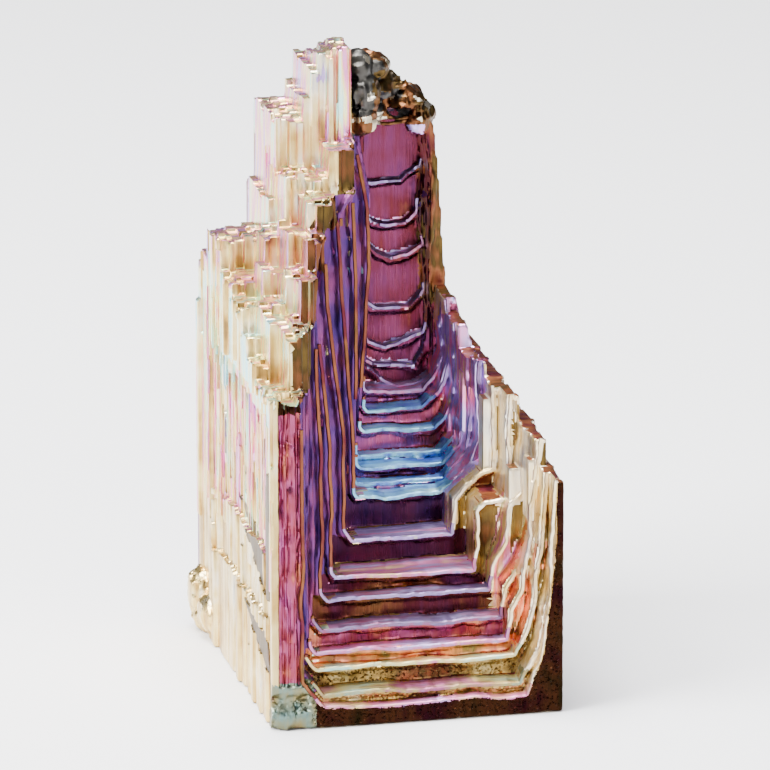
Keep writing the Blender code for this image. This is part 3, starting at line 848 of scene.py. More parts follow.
@dataclass
class TerraceLips:
    """The thick bright lips that run round the front edge of every growth frame."""

    radius: float = 0.17  # mm, half the width of a lip on the floor
    flat: float = 0.75  # its thickness as a share of its width
    sides: int = 5
    spacing: float = 0.2  # mm between rings
    ragged: float = 0.13  # mm that a lip strays
    swell: float = 0.9  # mm from one thick place to the next
    thin: float = 0.3  # share of the radius up the left wall
    stout: float = 1.9  # and up the right wall
    outset: float = 0.28  # mm that it stands off the opening there
    torn: float = 2.4  # how much more ragged the ledges of the back wall are
    overgrown: float = 0.62  # a frame this close behind the one before has no lip of its own, in mm
    stages: list[Stage] = field(default_factory=pit_stages)

    def path(self, number: int) -> tuple[np.ndarray, ...]:
        """The centre line of one lip.

        Args:
            number: the stage it runs round.

        Returns:
            Its x, y and z, the lip's thickness and raggedness there, and which points to keep.
        """
        stage = self.stages[number]
        corners = [corner for corner in stage.outline if max(corner) < OPEN - 1]
        x, z = np.array(corners, float).T
        along = np.concatenate([[0.0], np.cumsum(np.hypot(np.diff(x), np.diff(z)))])
        steps = np.linspace(0, along[-1], int(along[-1] / self.spacing))
        x, z = np.interp(steps, along, x), np.interp(steps, along, z)
        risen = np.clip((z - min(z) - 0.6) / 1.4, 0, 1)
        if stage.start >= PIT_BACK:
            worn = Waves(44).at(x * 0.9 + number * 5.3)
            kept = (z < min(z) + 2.0) & (worn > -0.45)
            bead, loose = 0.85 + 0.5 * worn, np.full(len(x), self.torn)
        else:
            index = FRONTS.index(stage.start)
            bead = 1 + risen * np.where(x < MIDDLE, self.thin - 1, self.stout - 1)
            loose = bead
            kept = (x > MIDDLE) | (risen < 0.5) | (z < corners[0][1] - 2.0)
            if index:
                ahead, here = (across_at(wall, z) for _, wall in LEFT_WALLS[index - 1:index + 1])
                kept &= (x > MIDDLE) | (risen < 0.5) | (here - ahead > self.overgrown)
        dx, dz = stray_of(number, x, z, stage.wander)
        out = self.outset * risen * (x > MIDDLE) * (0 < stage.start < PIT_BACK)
        y = np.full(len(x), stage.start - 0.02)
        if not stage.start:
            y = self.radius * (self.flat * 1.5 * bead + 0.1)
        return x - dx + out, y, z - dz, bead, loose, kept

    def paths(self) -> bpy.types.Object:
        """Lays the lips' centre lines.

        Returns:
            A mesh of edges that carries each point's thickness and raggedness.
        """
        points, edges, beads, sways = [], [], [], []
        for number, stage in enumerate(self.stages):
            if not stage.lipped:
                continue
            x, y, z, bead, loose, kept = self.path(number)
            first = len(points)
            points += list(zip(x, y, z))
            beads += list(bead)
            sways += list(loose)
            edges += [(first + i, first + i + 1) for i in range(len(x) - 1) if kept[i] and kept[i + 1]]
        mesh = bpy.data.meshes.new("terrace_lips")
        mesh.from_pydata(to_world(np.array(points)).tolist(), edges, [])
        for name, values in (("bead", beads), ("sway", sways)):
            mesh.attributes.new(name, "FLOAT", "POINT").data.foreach_set("value", values)
        return placed("terrace_lips", mesh)

    def tree(self) -> bpy.types.NodeTree:
        """Sweeps an uneven, flattened bead along the paths.

        Returns:
            The geometry tree.
        """
        lengths = {"Radius": self.radius, "Spacing": self.spacing, "Ragged": self.ragged}
        inputs = {name: ("Float", length * MM) for name, length in lengths.items()}
        tree, given = geometry_tree("lips along edges", inputs)
        place = add(tree, "GeometryNodeInputPosition").outputs[0]
        often = 1 / (self.swell * MM)
        wave = add(tree, "ShaderNodeTexNoise", {"Vector": place, "Scale": often, "Detail": 2.0})
        swell = add(tree, "ShaderNodeTexNoise", {"Vector": place, "Scale": 0.8 * often, "Detail": 3.0})
        centring = {0: wave.outputs["Color"], 1: (0.5, 0.5, 0.5)}
        centred = add(tree, "ShaderNodeVectorMath", centring, operation="SUBTRACT").outputs[0]
        bead, loose = (
            add(tree, "GeometryNodeInputNamedAttribute", {"Name": name}, data_type="FLOAT").outputs[0]
            for name in ("bead", "sway")
        )
        sway = add(tree, "ShaderNodeMath", {0: given["Ragged"], 1: loose}, operation="MULTIPLY").outputs[0]
        swayed = {0: centred, "Scale": sway}
        offset = add(tree, "ShaderNodeVectorMath", swayed, operation="SCALE").outputs[0]
        curve = add(tree, "GeometryNodeMeshToCurve", {0: given["Geometry"]}).outputs[0]
        even = {"Curve": curve, "Length": given["Spacing"]}
        curve = add(tree, "GeometryNodeResampleCurve", even, mode="LENGTH").outputs[0]
        curve = add(tree, "GeometryNodeSetPosition", {"Geometry": curve, "Offset": offset}).outputs[0]
        spread = {0: swell.outputs[0], 1: 0.38, 2: 0.62, 3: 0.5, 4: 1.4}
        size = add(tree, "ShaderNodeMapRange", spread).outputs[0]
        size = add(tree, "ShaderNodeMath", {0: size, 1: bead}, operation="MULTIPLY").outputs[0]
        curve = add(tree, "GeometryNodeSetCurveRadius", {"Curve": curve, "Radius": size}).outputs[0]
        facing = {"Curve": curve, "Normal": (0.0, 1.0, 0.0)}
        curve = add(tree, "GeometryNodeSetCurveNormal", facing, mode="FREE").outputs[0]
        ring = {"Resolution": self.sides, "Radius": given["Radius"]}
        ring = add(tree, "GeometryNodeCurvePrimitiveCircle", ring).outputs[0]
        flat = {"Geometry": ring, "Scale": (self.flat, 1.0, 1.0)}
        ring = add(tree, "GeometryNodeTransform", flat).outputs[0]
        swept = {"Curve": curve, "Profile Curve": ring, "Fill Caps": True}
        swept = add(tree, "GeometryNodeCurveToMesh", swept).outputs[0]
        end_tree(tree, swept, given["Material"])
        return tree

    def build(self, material: bpy.types.Material) -> bpy.types.Object:
        """Makes the lips.

        Args:
            material: the metal.

        Returns:
            The object.
        """
        lips = grown(self.paths(), self.tree(), {"Material": material})
        lips.data.shade_flat()
        return lips


# ---------------------------------------------------------------- blades and grains


@dataclass
class Scatter:
    """Small crystals of one kind, strewn over the faces of the body that an attribute marks."""

    name: str
    mark: str  # face attribute that says how thickly they lie, from 0 to 1
    density: float  # on each square millimetre
    low: tuple[float, float, float]  # least size in mm
    high: tuple[float, float, float]  # greatest size
    turned: float  # how far they may be turned, in radians
    seed: int

    def tree(self) -> bpy.types.NodeTree:
        """Strews the crystals and keeps them as one mesh.

        Returns:
            The geometry tree.
        """
        inputs = {
            "Body": ("Object", None),
            "Density": ("Float", self.density / MM ** 2),
            "Smallest": ("Vector", None),
            "Largest": ("Vector", None),
            "Seed": ("Int", self.seed),
        }
        tree, given = geometry_tree(self.name, inputs)
        seed = given["Seed"]
        body = add(tree, "GeometryNodeObjectInfo", {"Object": given["Body"]}).outputs["Geometry"]
        marked = {"Name": self.mark}
        mark = add(tree, "GeometryNodeInputNamedAttribute", marked, data_type="FLOAT").outputs[0]
        thick = {0: mark, 1: given["Density"]}
        thick = add(tree, "ShaderNodeMath", thick, operation="MULTIPLY").outputs[0]
        strewing = {"Mesh": body, "Density": thick, "Seed": seed}
        points = add(tree, "GeometryNodeDistributePointsOnFaces", strewing).outputs[0]
        ends = ((given["Smallest"], given["Largest"]), ((-self.turned,) * 3, (self.turned,) * 3))
        size, turn = (
            add(tree, "FunctionNodeRandomValue", {0: low, 1: high, "Seed": seed},
                data_type="FLOAT_VECTOR").outputs[0]
            for low, high in ends
        )
        cube = add(tree, "GeometryNodeMeshCube", {"Size": (1, 1, 1)}).outputs[0]
        copies = {"Points": points, "Instance": cube, "Rotation": turn, "Scale": size}
        strewn = add(tree, "GeometryNodeInstanceOnPoints", copies).outputs[0]
        end_tree(tree, strewn, given["Material"])
        return tree

    def build(self, body: bpy.types.Object, material: bpy.types.Material) -> bpy.types.Object:
        """Makes the crystals.

        Args:
            body: what they lie on.
            material: the metal.

        Returns:
            The object.
        """
        obj = placed(self.name, bpy.data.meshes.new(self.name))
        sizes = {"Smallest": [side * MM for side in self.low], "Largest": [side * MM for side in self.high]}
        return grown(obj, self.tree(), {"Body": body, "Material": material, **sizes})


BLADES = Scatter("face_blades", "bladed", 1.8, (0.06, 0.08, 1.6), (0.18, 0.26, 5.0), 0.008, 4)
GRAINS = Scatter("gold_grains", "grainy", 20.0, (0.06, 0.06, 0.06), (0.17, 0.17, 0.17), 1.5, 7)


# ---------------------------------------------------------------- finishes


class Tint(float, Enum):
    """Interference colours of the oxide film, in the order of its thickness."""

    SILVER = 0.0
    CREAM = 0.06
    STRAW = 0.12
    GOLD = 0.18
    OLIVE = 0.24
    ORANGE = 0.30
    CRIMSON = 0.37
    MAGENTA = 0.44
    VIOLET = 0.51
    INDIGO = 0.57
    BLUE = 0.63
    CYAN = 0.70
    MINT = 0.76
    LEMON = 0.82
    PINK = 0.88
    LAVENDER = 0.94
    LILAC = 1.0


TINT_COLOURS = {
    Tint.SILVER: "C9C6C2", Tint.CREAM: "F6E8CC", Tint.STRAW: "E8CE8C", Tint.GOLD: "C09A54",
    Tint.OLIVE: "80663E", Tint.ORANGE: "D48458", Tint.CRIMSON: "96404E", Tint.MAGENTA: "A4507E",
    Tint.VIOLET: "6C4282", Tint.INDIGO: "40327A", Tint.BLUE: "5A72C4", Tint.CYAN: "8CCCE8",
    Tint.MINT: "C4ECDC", Tint.LEMON: "F4DE92", Tint.PINK: "E884B8", Tint.LAVENDER: "C4B0E6",
    Tint.LILAC: "A488CC",
}


@dataclass(frozen=True)
class Coat:
    """The film on one kind of face: tint, how far it strays in streaks and in clouds, brightness, which on
    some faces is also painted light and on others painted shade.
    """

    tint: float
    streak: float
    cloud: float
    shade: float
    rough: float = 0.28  # from mirror to matt


# Front faces of the growth frames, front to back, and the back wall last. Their brightness, lowest on frame
# 0 (the front frame) and on frames 5 to 8, is painted shade over the film's own colours.
RISER_COATS = (
    Coat(0.31, 0.03, 0.09, 0.035, 0.36), Coat(0.17, 0.03, 0.09, 0.62, 0.36),
    Coat(0.21, 0.03, 0.09, 0.44, 0.36), Coat(0.31, 0.04, 0.09, 0.90, 0.32),
    Coat(0.37, 0.03, 0.08, 0.60), Coat(0.34, 0.03, 0.09, 0.12), Coat(0.36, 0.03, 0.09, 0.16),
    Coat(0.46, 0.02, 0.06, 0.09), Coat(0.48, 0.02, 0.06, 0.11), Coat(0.90, 0.03, 0.06, 0.60),
    Coat(0.52, 0.03, 0.06, 0.40), Coat(0.68, 0.04, 0.06, 0.70), Coat(0.42, 0.03, 0.07, 0.56),
    Coat(0.43, 0.03, 0.08, 0.56), Coat(0.50, 0.03, 0.06, 0.60), Coat(0.41, 0.03, 0.06, 0.30),
)
BLUE_TREAD = Coat(0.673, 0.05, 0.03, 1.2, 0.36)
TREAD_COATS = (
    Coat(0.87, 0.04, 0.05, 0.85, 0.36), Coat(0.83, 0.04, 0.06, 0.46, 0.36),
    Coat(0.81, 0.04, 0.05, 0.9, 0.36), Coat(0.91, 0.05, 0.05, 0.85, 0.36),
    Coat(0.92, 0.05, 0.04, 0.42, 0.36), Coat(0.95, 0.05, 0.03, 0.62, 0.36),
    Coat(0.90, 0.06, 0.07, 0.9, 0.36), Coat(0.95, 0.06, 0.03, 0.9, 0.36),
    Coat(0.69, 0.05, 0.05, 1.0, 0.36), BLUE_TREAD, BLUE_TREAD, BLUE_TREAD, BLUE_TREAD,
    Coat(0.68, 0.05, 0.04, 1.0, 0.36), Coat(0.95, 0.05, 0.05, 0.8, 0.36),
    Coat(0.94, 0.06, 0.06, 0.75, 0.36),
)
WALL_STRIP = Coat(0.505, 0.015, 0.06, 0.60, 0.42)
WALL_RIM = Coat(0.32, 0.04, 0.08, 0.46, 0.36)
PEAK_EDGE = Coat(0.29, 0.07, 0.12, 0.26, 0.32)
# Front faces of the right wall's frames: olive film kept dark, painted shade where the fronts look away
# from the light
RIGHT_STRIP_PAINTED_SHADE = Coat(0.23, 0.03, 0.08, 0.36, 0.3)
# Orange film on the right wall, brightened past its own colour: a painted highlight where the light falls
RIGHT_GLOW_PAINTED_HIGHLIGHT = Coat(0.30, 0.05, 0.05, 1.25, 0.3)
RIGHT_RIDGE = Coat(0.84, 0.05, 0.05, 1.0, 0.34)
OLIVE_FACET = Coat(0.22, 0.02, 0.05, 0.3, 0.3)
FAR = 13.0  # depth from which the film on the right wall is purple
FAR_STRIP = Coat(0.43, 0.04, 0.07, 0.75, 0.3)
FAR_INNER = Coat(0.92, 0.08, 0.06, 1.05, 0.34)
FAR_RIM = Coat(0.92, 0.05, 0.05, 1.0, 0.34)
# Sides of the right wall that look into the pit: cream film at full brightness, painted light where the
# lamp at the left falls
RIGHT_INNER_PAINTED_LIGHT = Coat(0.09, 0.06, 0.06, 1.0, 0.36)
RIGHT_DEEP = Coat(0.12, 0.05, 0.07, 0.9, 0.34)
RIGHT_RIM = Coat(0.075, 0.03, 0.06, 1.0, 0.34)
# The left face's foot, low, middle and high coats: straw, lemon, mint and pink film, their brightness
# (above 1 in the middle and high bands) also painted light from the lamp at the left
LEFT_FOOT = Coat(0.14, 0.06, 0.05, 0.95, 0.28)
LEFT_LOW = Coat(0.84, 0.09, 0.05, 1.0, 0.28)
LEFT_EDGE = Coat(0.13, 0.04, 0.05, 0.75, 0.34)
LEFT_MIDDLE_PAINTED_LIGHT = Coat(0.78, 0.09, 0.07, 1.08, 0.28)
LEFT_HIGH_PAINTED_LIGHT = Coat(0.85, 0.12, 0.05, 1.06, 0.28)
# Olive film on the left face's flat facets, darkened as a painted dark reflection
FACET_PAINTED_REFLECTION = Coat(0.22, 0.02, 0.03, 0.3, 0.4)
# Front faces of the steps and gaps of the left face: gold film kept a little darker, painted shade between
# the columns
GAP_SIDE_PAINTED_SHADE = Coat(0.13, 0.07, 0.10, 0.86, 0.32)
LEDGE_FRONT = Coat(0.25, 0.03, 0.07, 0.2)
PLEATED = Coat(0.40, 0.06, 0.07, 0.74, 0.34)
RIGHT_FACE = Coat(0.45, 0.06, 0.07, 0.66)
BACK_FACE = Coat(0.41, 0.05, 0.07, 0.62)
TOPS = Coat(0.33, 0.06, 0.12, 0.6, 0.34)
# Pale film on the melt in a frame's left corner, brightened as a painted highlight
MELT_PAINTED_HIGHLIGHT = Coat(0.84, 0.09, 0.08, 0.95, 0.28)
MELTED = (2, 8)  # frames whose tread is painted bright in the left corner: pale film and a painted highlight on the melt there
CRUST_BROWN = Coat(0.262, 0.02, 0.05, 0.32, 0.36)
# Near-black walls of the hole through the crust: painted shadow inside the hole
HOLE_WALL_PAINTED_SHADOW = Coat(0.30, 0.02, 0.05, 0.025, 0.4)
# Pale cream patches on the crust: painted glints, and one painted highlight at its foot
CRUST_PAINTED_GLINT = Coat(0.06, 0.02, 0.05, 0.7, 0.3)
CRUST_GREY = Coat(0.01, 0.0, 0.01, 0.10, 0.38)
CORNER = Coat(0.78, 0.03, 0.10, 0.2, 0.34)
GRAIN = Coat(0.15, 0.0, 0.05, 1.0)
BLADE = Coat(0.83, 0.05, 0.03, 0.95, 0.3)
LIP_SHADE = 0.64  # a lip is this much darker than the tread it borders


def left_edge(y: np.ndarray, z: np.ndarray) -> np.ndarray:
    """Where the inner side of the left wall stands.

    Args:
        y: depths.
        z: heights.

    Returns:
        Its x for each of them.
    """
    index = np.clip(np.searchsorted(FRONTS, y + 0.2) - 1, 0, len(LEFT_WALLS) - 1)
    walls = np.array([across_at(wall, z) for _, wall in LEFT_WALLS])
    return np.take_along_axis(walls, index[None], 0)[0]


def above(limit: float) -> tuple[float, float]:
    """The bounds of what is more than the limit."""
    return limit, math.inf


def below(limit: float) -> tuple[float, float]:
    """The bounds of what is less than the limit."""
    return -math.inf, limit


class Zone:
    """The faces between bounds on some of their measures, and the coat that lies on them."""

    def __init__(self, coat: Coat | None, **bounds: tuple[float, float]) -> None:
        """Takes the coat and the bounds.

        Args:
            coat: what lies there, or none where the zone marks where small crystals grow.
            bounds: the bounds on each measure that counts, by its name.
        """
        self.coat = coat
        self.bounds = bounds

    def holds(self, measures: dict[str, np.ndarray]) -> np.ndarray:
        """Finds the faces.

        Args:
            measures: the faces' measures by name.

        Returns:
            True for each face that keeps to all the bounds.
        """
        kept = np.ones(len(measures["x"]), bool)
        for name, (low, high) in self.bounds.items():
            kept &= (measures[name] > low) & (measures[name] < high)
        return kept


FRONTAL = below(-0.45)  # ny of a face that looks to the front
FORWARD = below(-0.3)  # or about to the front
INWARD = below(-0.4)  # nx of a face of the right wall that looks into the pit
UPRIGHT = (-0.6, 0.6)
LEFT, RIGHT = below(13), above(12)
LEDGE = {"x": (11.5, 17.8), "y": (PIT_BACK - 0.1, PIT_BACK + 3.6), "z": above(LEDGES[0] - 0.3)}
CRUST = {"x": above(WALL_END - 0.05), "y": (PIT_BACK - 4.2, 26.4), "z": above(40.4)}

# Laid one over another before the growth frames' own coats
GROUND = (
    Zone(LEFT_LOW),
    # The left face's bands, brightened with painted light from the left
    Zone(LEFT_FOOT, x=LEFT, bend=below(12.0)),
    Zone(LEFT_MIDDLE_PAINTED_LIGHT, x=LEFT, bend=above(23.0)),
    Zone(LEFT_HIGH_PAINTED_LIGHT, x=LEFT, bend=above(30.5)),
    Zone(RIGHT_INNER_PAINTED_LIGHT, x=above(13)),
    Zone(RIGHT_FACE, x=above(17.5), nx=above(0.3)),
    Zone(WALL_STRIP, x=LEFT, z=below(40.4), nx=above(0.3), inward=above(-0.5)),
    Zone(BACK_FACE, ny=above(0.6)),
    Zone(BACK_FACE, behind=above(0.0), ny=above(-0.3), nz=UPRIGHT),
    Zone(RIGHT_FACE, x=above(21.4), nx=above(-0.3), ny=above(-0.3), nz=UPRIGHT),
    Zone(TOPS, x=RIGHT, nz=above(0.6)),
    Zone(LEDGE_FRONT, x=below(12), y=below(19.8), z=(25.2, 39.4), ny=FRONTAL,
         inward=above(-LEDGE_WIDTH)),
    # The right wall: painted shade on its front faces, painted light on its sides that look into the pit
    Zone(RIGHT_STRIP_PAINTED_SHADE, x=RIGHT, ny=FRONTAL),
    Zone(FAR_STRIP, x=RIGHT, y=above(FAR), ny=FRONTAL),
    # A painted highlight: orange glow on the right wall's fronts
    Zone(RIGHT_GLOW_PAINTED_HIGHLIGHT, x=(18.3, 20.2), y=(2.0, 6.0), z=(6.0, 15.5), ny=FORWARD),
    Zone(RIGHT_INNER_PAINTED_LIGHT, x=RIGHT, nx=INWARD),
    Zone(RIGHT_DEEP, x=RIGHT, y=below(15.0), nx=INWARD, bend=below(14.5)),
    Zone(FAR_INNER, x=RIGHT, y=above(FAR), nx=INWARD, bend=below(25.0)),
    # More of the painted highlight on the right wall's sides, broken up by waves
    Zone(RIGHT_GLOW_PAINTED_HIGHLIGHT, x=above(18.3), y=(2.4, 6.3), z=(4.5, 13.5), nx=below(-0.3), glow=above(-0.35)),
    Zone(RIGHT_RIDGE, x=above(17.0), y=(6.3, 9.0), z=(6.0, 15.0), nx=below(-0.3)),
)

# Laid over them after the frames
DETAILS = (
    Zone(OLIVE_FACET, x=(17.0, 19.0), y=(6.9, 9.6), z=(8.8, 14.6), ny=FRONTAL),
    Zone(RIGHT_RIDGE, x=(18.2, 19.7), y=(5.8, 6.9), z=(6.5, 14.2), ny=FORWARD),
    Zone(RISER_COATS[-1], ny=FORWARD, **LEDGE),
    Zone(TREAD_COATS[-1], nz=above(0.3), **LEDGE),
    Zone(PEAK_EDGE, x=above(16.9), y=above(PIT_BACK - 0.4), z=above(26.0), ny=FORWARD),
    Zone(LEFT_EDGE, x=below(0.4), y=below(0.9), z=above(3.0), ny=below(-0.2)),
    Zone(PLEATED, x=(0.4, 2.2), y=below(0.7), z=(3.0, 24.6), ny=below(-0.2)),
    Zone(LEFT_HIGH_PAINTED_LIGHT, x=below(WALL_END + 0.15), y=above(18.9), z=above(39.5), ny=below(0.6)),
    # Painted shade on the front faces between the left face's columns
    Zone(GAP_SIDE_PAINTED_SHADE, x=below(1.3), y=above(1.2), z=above(3.0), ny=FRONTAL),
    Zone(GAP_SIDE_PAINTED_SHADE, y=above(1.2), z=above(3.0), ny=FRONTAL, inward=below(-LEDGE_WIDTH)),
    # The flat facets: olive film with a painted dark reflection
    Zone(FACET_PAINTED_REFLECTION, x=below(0.9), nz=below(0.6), facet=below(0.1)),
    Zone(CRUST_GREY, **CRUST),
    Zone(CRUST_BROWN, brown=above(0.25), **CRUST),
    # Painted glints in patches on the crust, and a painted highlight at its foot
    Zone(CRUST_PAINTED_GLINT, pale=above(0.62), **CRUST),
    Zone(CRUST_PAINTED_GLINT, x=(12.0, 13.4), y=CRUST["y"], z=(40.4, 41.8)),
    # Painted shadow inside the hole through the crust
    Zone(HOLE_WALL_PAINTED_SHADOW, bore=below(1.0), **CRUST),
    Zone(CORNER, x=below(3.2), y=below(2.0), z=below(3.6), ny=below(0.2)),
)

# Where small crystals grow, by the name of the mark that their scatter looks for
GRAINY = {"x": (3.0, 22.0), "ny": below(-0.5)}
BLADED = {
    "y": below(23.8), "z": above(15.0), "nx": below(-0.6), "inward": below(-0.9), "crown": below(-4.5),
}
MARKED = {
    "grainy": (
        Zone(None, y=below(0.25), z=above(0.25), **GRAINY),
        Zone(None, y=(0.9, 3.0), z=(0.25, 4.2), **GRAINY),
    ),
    "bladed": (
        Zone(None, x=below(10.0), facet=above(0.1), **BLADED),
        Zone(None, x=(0.9, 10.0), **BLADED),
    ),
}


@dataclass
class FilmMap:
    """Says which coat lies on each face of a piece."""

    piece: bpy.types.Object
    one: Coat | None = None  # a single coat for the whole piece
    lips: bool = False
    tread_reach: float = 0.7  # mm from the edge of a frame's opening that its tread's film reaches
    riser_reach: float = 0.3
    rim_width: float = 0.55  # of the pale rim round the right side of an opening
    strip_foot: float = 0.4  # mm over the floor where the left wall's strips begin

    def lay(self) -> None:
        """Writes the coats' numbers onto the faces."""
        mesh = self.piece.data
        count = len(mesh.polygons)
        centres, normals = np.empty(count * 3, np.float32), np.empty(count * 3, np.float32)
        mesh.polygons.foreach_get("center", centres)
        mesh.polygons.foreach_get("normal", normals)
        at = to_crystal(centres.reshape(-1, 3))
        coats, marks = np.empty((count, len(fields(Coat)))), {}
        if self.one:
            coats[:] = astuple(self.one)
        elif self.lips:
            self.coat_lips(*at.T, coats)
        else:
            measures = self.measured(at, normals.reshape(-1, 3))
            self.coat_body(measures, coats)
            for name, zones in MARKED.items():
                marks[name] = np.any([zone.holds(measures) for zone in zones], 0)
        layers = {part.name: coats[:, column] for column, part in enumerate(fields(Coat))}
        for name, values in (layers | marks).items():
            layer = mesh.attributes.new(name, "FLOAT", "FACE")
            layer.data.foreach_set("value", values.astype(np.float32))

    def measured(self, at: np.ndarray, normal: np.ndarray) -> dict[str, np.ndarray]:
        """Takes the measures that the zones are bounded by.

        Args:
            at: face centres in crystal millimetres.
            normal: face normals.

        Returns:
            The measures by name.
        """
        x, y, z = at.T
        nx, ny, nz = normal.T
        patch = Waves(41)
        inset = sum((z > height).astype(float) for height, _ in BACK_STEPS)
        (hx, hz), (rx, rz) = HOLE
        cell = (np.clip(x, 0, 30) / 0.5).astype(int) * 100 + (np.clip(y, 0, 30) / 0.5).astype(int)
        top = np.zeros(cell.max() + 1)
        np.maximum.at(top, cell, z)
        return {
            "x": x, "y": y, "z": z, "nx": nx, "ny": ny, "nz": nz,
            # The height, with slow waves in it
            "bend": z + 2.0 * patch.at(x * 0.6, y * 0.5, z * 0.12),
            # To the right of the left wall's inner side, and behind where the back's film begins
            "inward": x - left_edge(y, z),
            "behind": y - DEPTH + 1.1 + inset,
            # From the nearest dark facet, and over the top of the metal there
            "facet": np.min([distance_to(facet, y, z) for facet in FACETS], 0),
            "crown": z - top[cell],
            # Waves that break up the painted glow (a painted highlight) on the right wall, and that lay the
            # crust's brown film and its painted glints
            "glow": patch.at(y * 0.8, z * 0.6),
            "brown": patch.at(x * 0.7, y * 0.7, z * 0.7) + 0.14 * (x - WALL_END),
            "pale": patch.at(x * 1.1, y * 1.1, z * 1.1 + 7),
            # Below 1 in the hole through the crust
            "bore": ((x - hx) / (rx + 0.15)) ** 2 + ((z - hz) / (rz + 0.15)) ** 2,
        }

    def coat_body(self, measures: dict[str, np.ndarray], coats: np.ndarray) -> None:
        """Chooses the coats of the crystal's body.

        Args:
            measures: its faces' measures by name.
            coats: the coats' numbers, filled in here.
        """
        for zone in GROUND:
            coats[zone.holds(measures)] = astuple(zone.coat)
        for index in range(len(FRONTS)):
            for mask, coat in self.frame_coats(index, measures):
                coats[mask] = astuple(coat)
        for zone in DETAILS:
            coats[zone.holds(measures)] = astuple(zone.coat)

    def frame_coats(self, index: int, measures: dict[str, np.ndarray]) -> list[tuple[np.ndarray, Coat]]:
        """Chooses the coats of one growth frame's front face and of the tread behind it.

        Args:
            index: the frame's number from the front; the last is the back wall.
            measures: the faces' measures by name.

        Returns:
            Which faces wear each coat, in the order that they are laid in.
        """
        x, y, z, ny, nz = (measures[name] for name in ("x", "y", "z", "ny", "nz"))
        last = len(FRONTS) - 1
        level, before = min(index, last - 1), max(0, index - 1)
        outline = opening(level, FRONTS[level] + 0.01)
        on_tread = np.clip(np.searchsorted(FRONTS, y) - 1, 0, last - 1) == index
        frontal = (np.clip(np.searchsorted(FRONTS, y + 0.12) - 1, 0, last) == index) & (ny < -0.45)
        flat = on_tread & (nz > 0.35)
        flat[flat] = np.abs(distance_to(outline, x[flat], z[flat])) < self.tread_reach
        upright = frontal.copy()
        if index:
            ahead = opening(before, FRONTS[before] + 0.01)
            upright[upright] = distance_to(ahead, x[upright], z[upright]) < self.riser_reach
        low = z < FLOORS[level] + self.strip_foot
        edge = across_at(LEFT_WALLS[before][1], z)
        strip = upright & ~low & (x < 12.2) & (x > edge - 0.3) & (index > 0)
        laid = [
            (flat & (z < FLOORS[level] + 0.9), TREAD_COATS[index]),
            (upright & (low | (index == 0)), RISER_COATS[index]),
            (strip, WALL_STRIP),
        ]
        # A bright patch on the tread in the frame's left corner: pale film and a painted highlight on the
        # melt
        if MELTED[0] <= index <= MELTED[1]:
            corner = LEFT_WALLS[index][1][0][0] + 0.3
            away = np.hypot(x - corner, 0.8 * (z - FLOORS[index] - 0.2))
            waves = Waves(41).at(x * 1.1 + index * 3.7, y * 0.9, z * 1.1)
            laid.append((on_tread & (nz > 0.2) & (away < 0.9 + 0.5 * waves), MELT_PAINTED_HIGHLIGHT))
        wall_top = side_at(LEFT_SIDES, FRONTS[before] + 0.01)[-1][1]
        laid.append((strip & (z > wall_top - 0.3), LEDGE_FRONT))
        if index == last:
            laid.append((upright & ~low, RISER_COATS[index]))
        else:
            rim = frontal & (x > 15) & (z > FLOORS[level] + 0.8)
            rim[rim] = distance_to(outline, x[rim], z[rim]) < (self.rim_width if index else 0.0)
            laid.append((rim, FAR_RIM if FRONTS[index] > FAR else RIGHT_RIM))
        return laid

    def coat_lips(self, x: np.ndarray, y: np.ndarray, z: np.ndarray, coats: np.ndarray) -> None:
        """Chooses the coats of the lips: pink up the left wall, pale on the floor, cream up the right.

        Args:
            x: face centres, across.
            y: face centres, back.
            z: face centres, up.
            coats: the coats' numbers, filled in here.
        """
        index = np.clip(np.searchsorted(FRONTS, y + 0.35) - 1, 0, len(FRONTS) - 1)
        for number, front in enumerate(FRONTS):
            here = index == number
            coats[here] = astuple(TREAD_COATS[number])
            if front < PIT_BACK:
                risen = here & (z > FLOORS[number] + 1.0)
                coats[risen & (x < MIDDLE)] = astuple(WALL_RIM)
                coats[risen & (x >= MIDDLE)] = astuple(FAR_RIM if front > FAR else RIGHT_RIM)
        coats[:, 3] *= np.where((x > MIDDLE) & (coats[:, 0] < 0.2), 1.0, LIP_SHADE)


def linear(code: str, alpha: float = 1.0) -> tuple[float, float, float, float]:
    """An sRGB hex colour as linear values.

    Args:
        code: six hex digits.
        alpha: the fourth value.

    Returns:
        Red, green, blue and alpha.
    """
    parts = [int(code[i:i + 2], 16) / 255 for i in (0, 2, 4)]
    parts = [c / 12.92 if c <= 0.04045 else ((c + 0.055) / 1.055) ** 2.4 for c in parts]
    return (*parts, alpha)


def add(
    tree: bpy.types.NodeTree, kind: str, inputs: dict | None = None, **settings: object
) -> bpy.types.Node:
    """Adds a node.

    Args:
        tree: where it goes.
        kind: its type name.
        inputs: value or output socket for each input, by name or number.
        settings: its own properties.

    Returns:
        The node.
    """
    node = tree.nodes.new(kind)
    for name, value in settings.items():
        setattr(node, name, value)
    for name, value in (inputs or {}).items():
        if isinstance(value, bpy.types.NodeSocket):
            tree.links.new(value, node.inputs[name])
        else:
            node.inputs[name].default_value = value
    return node


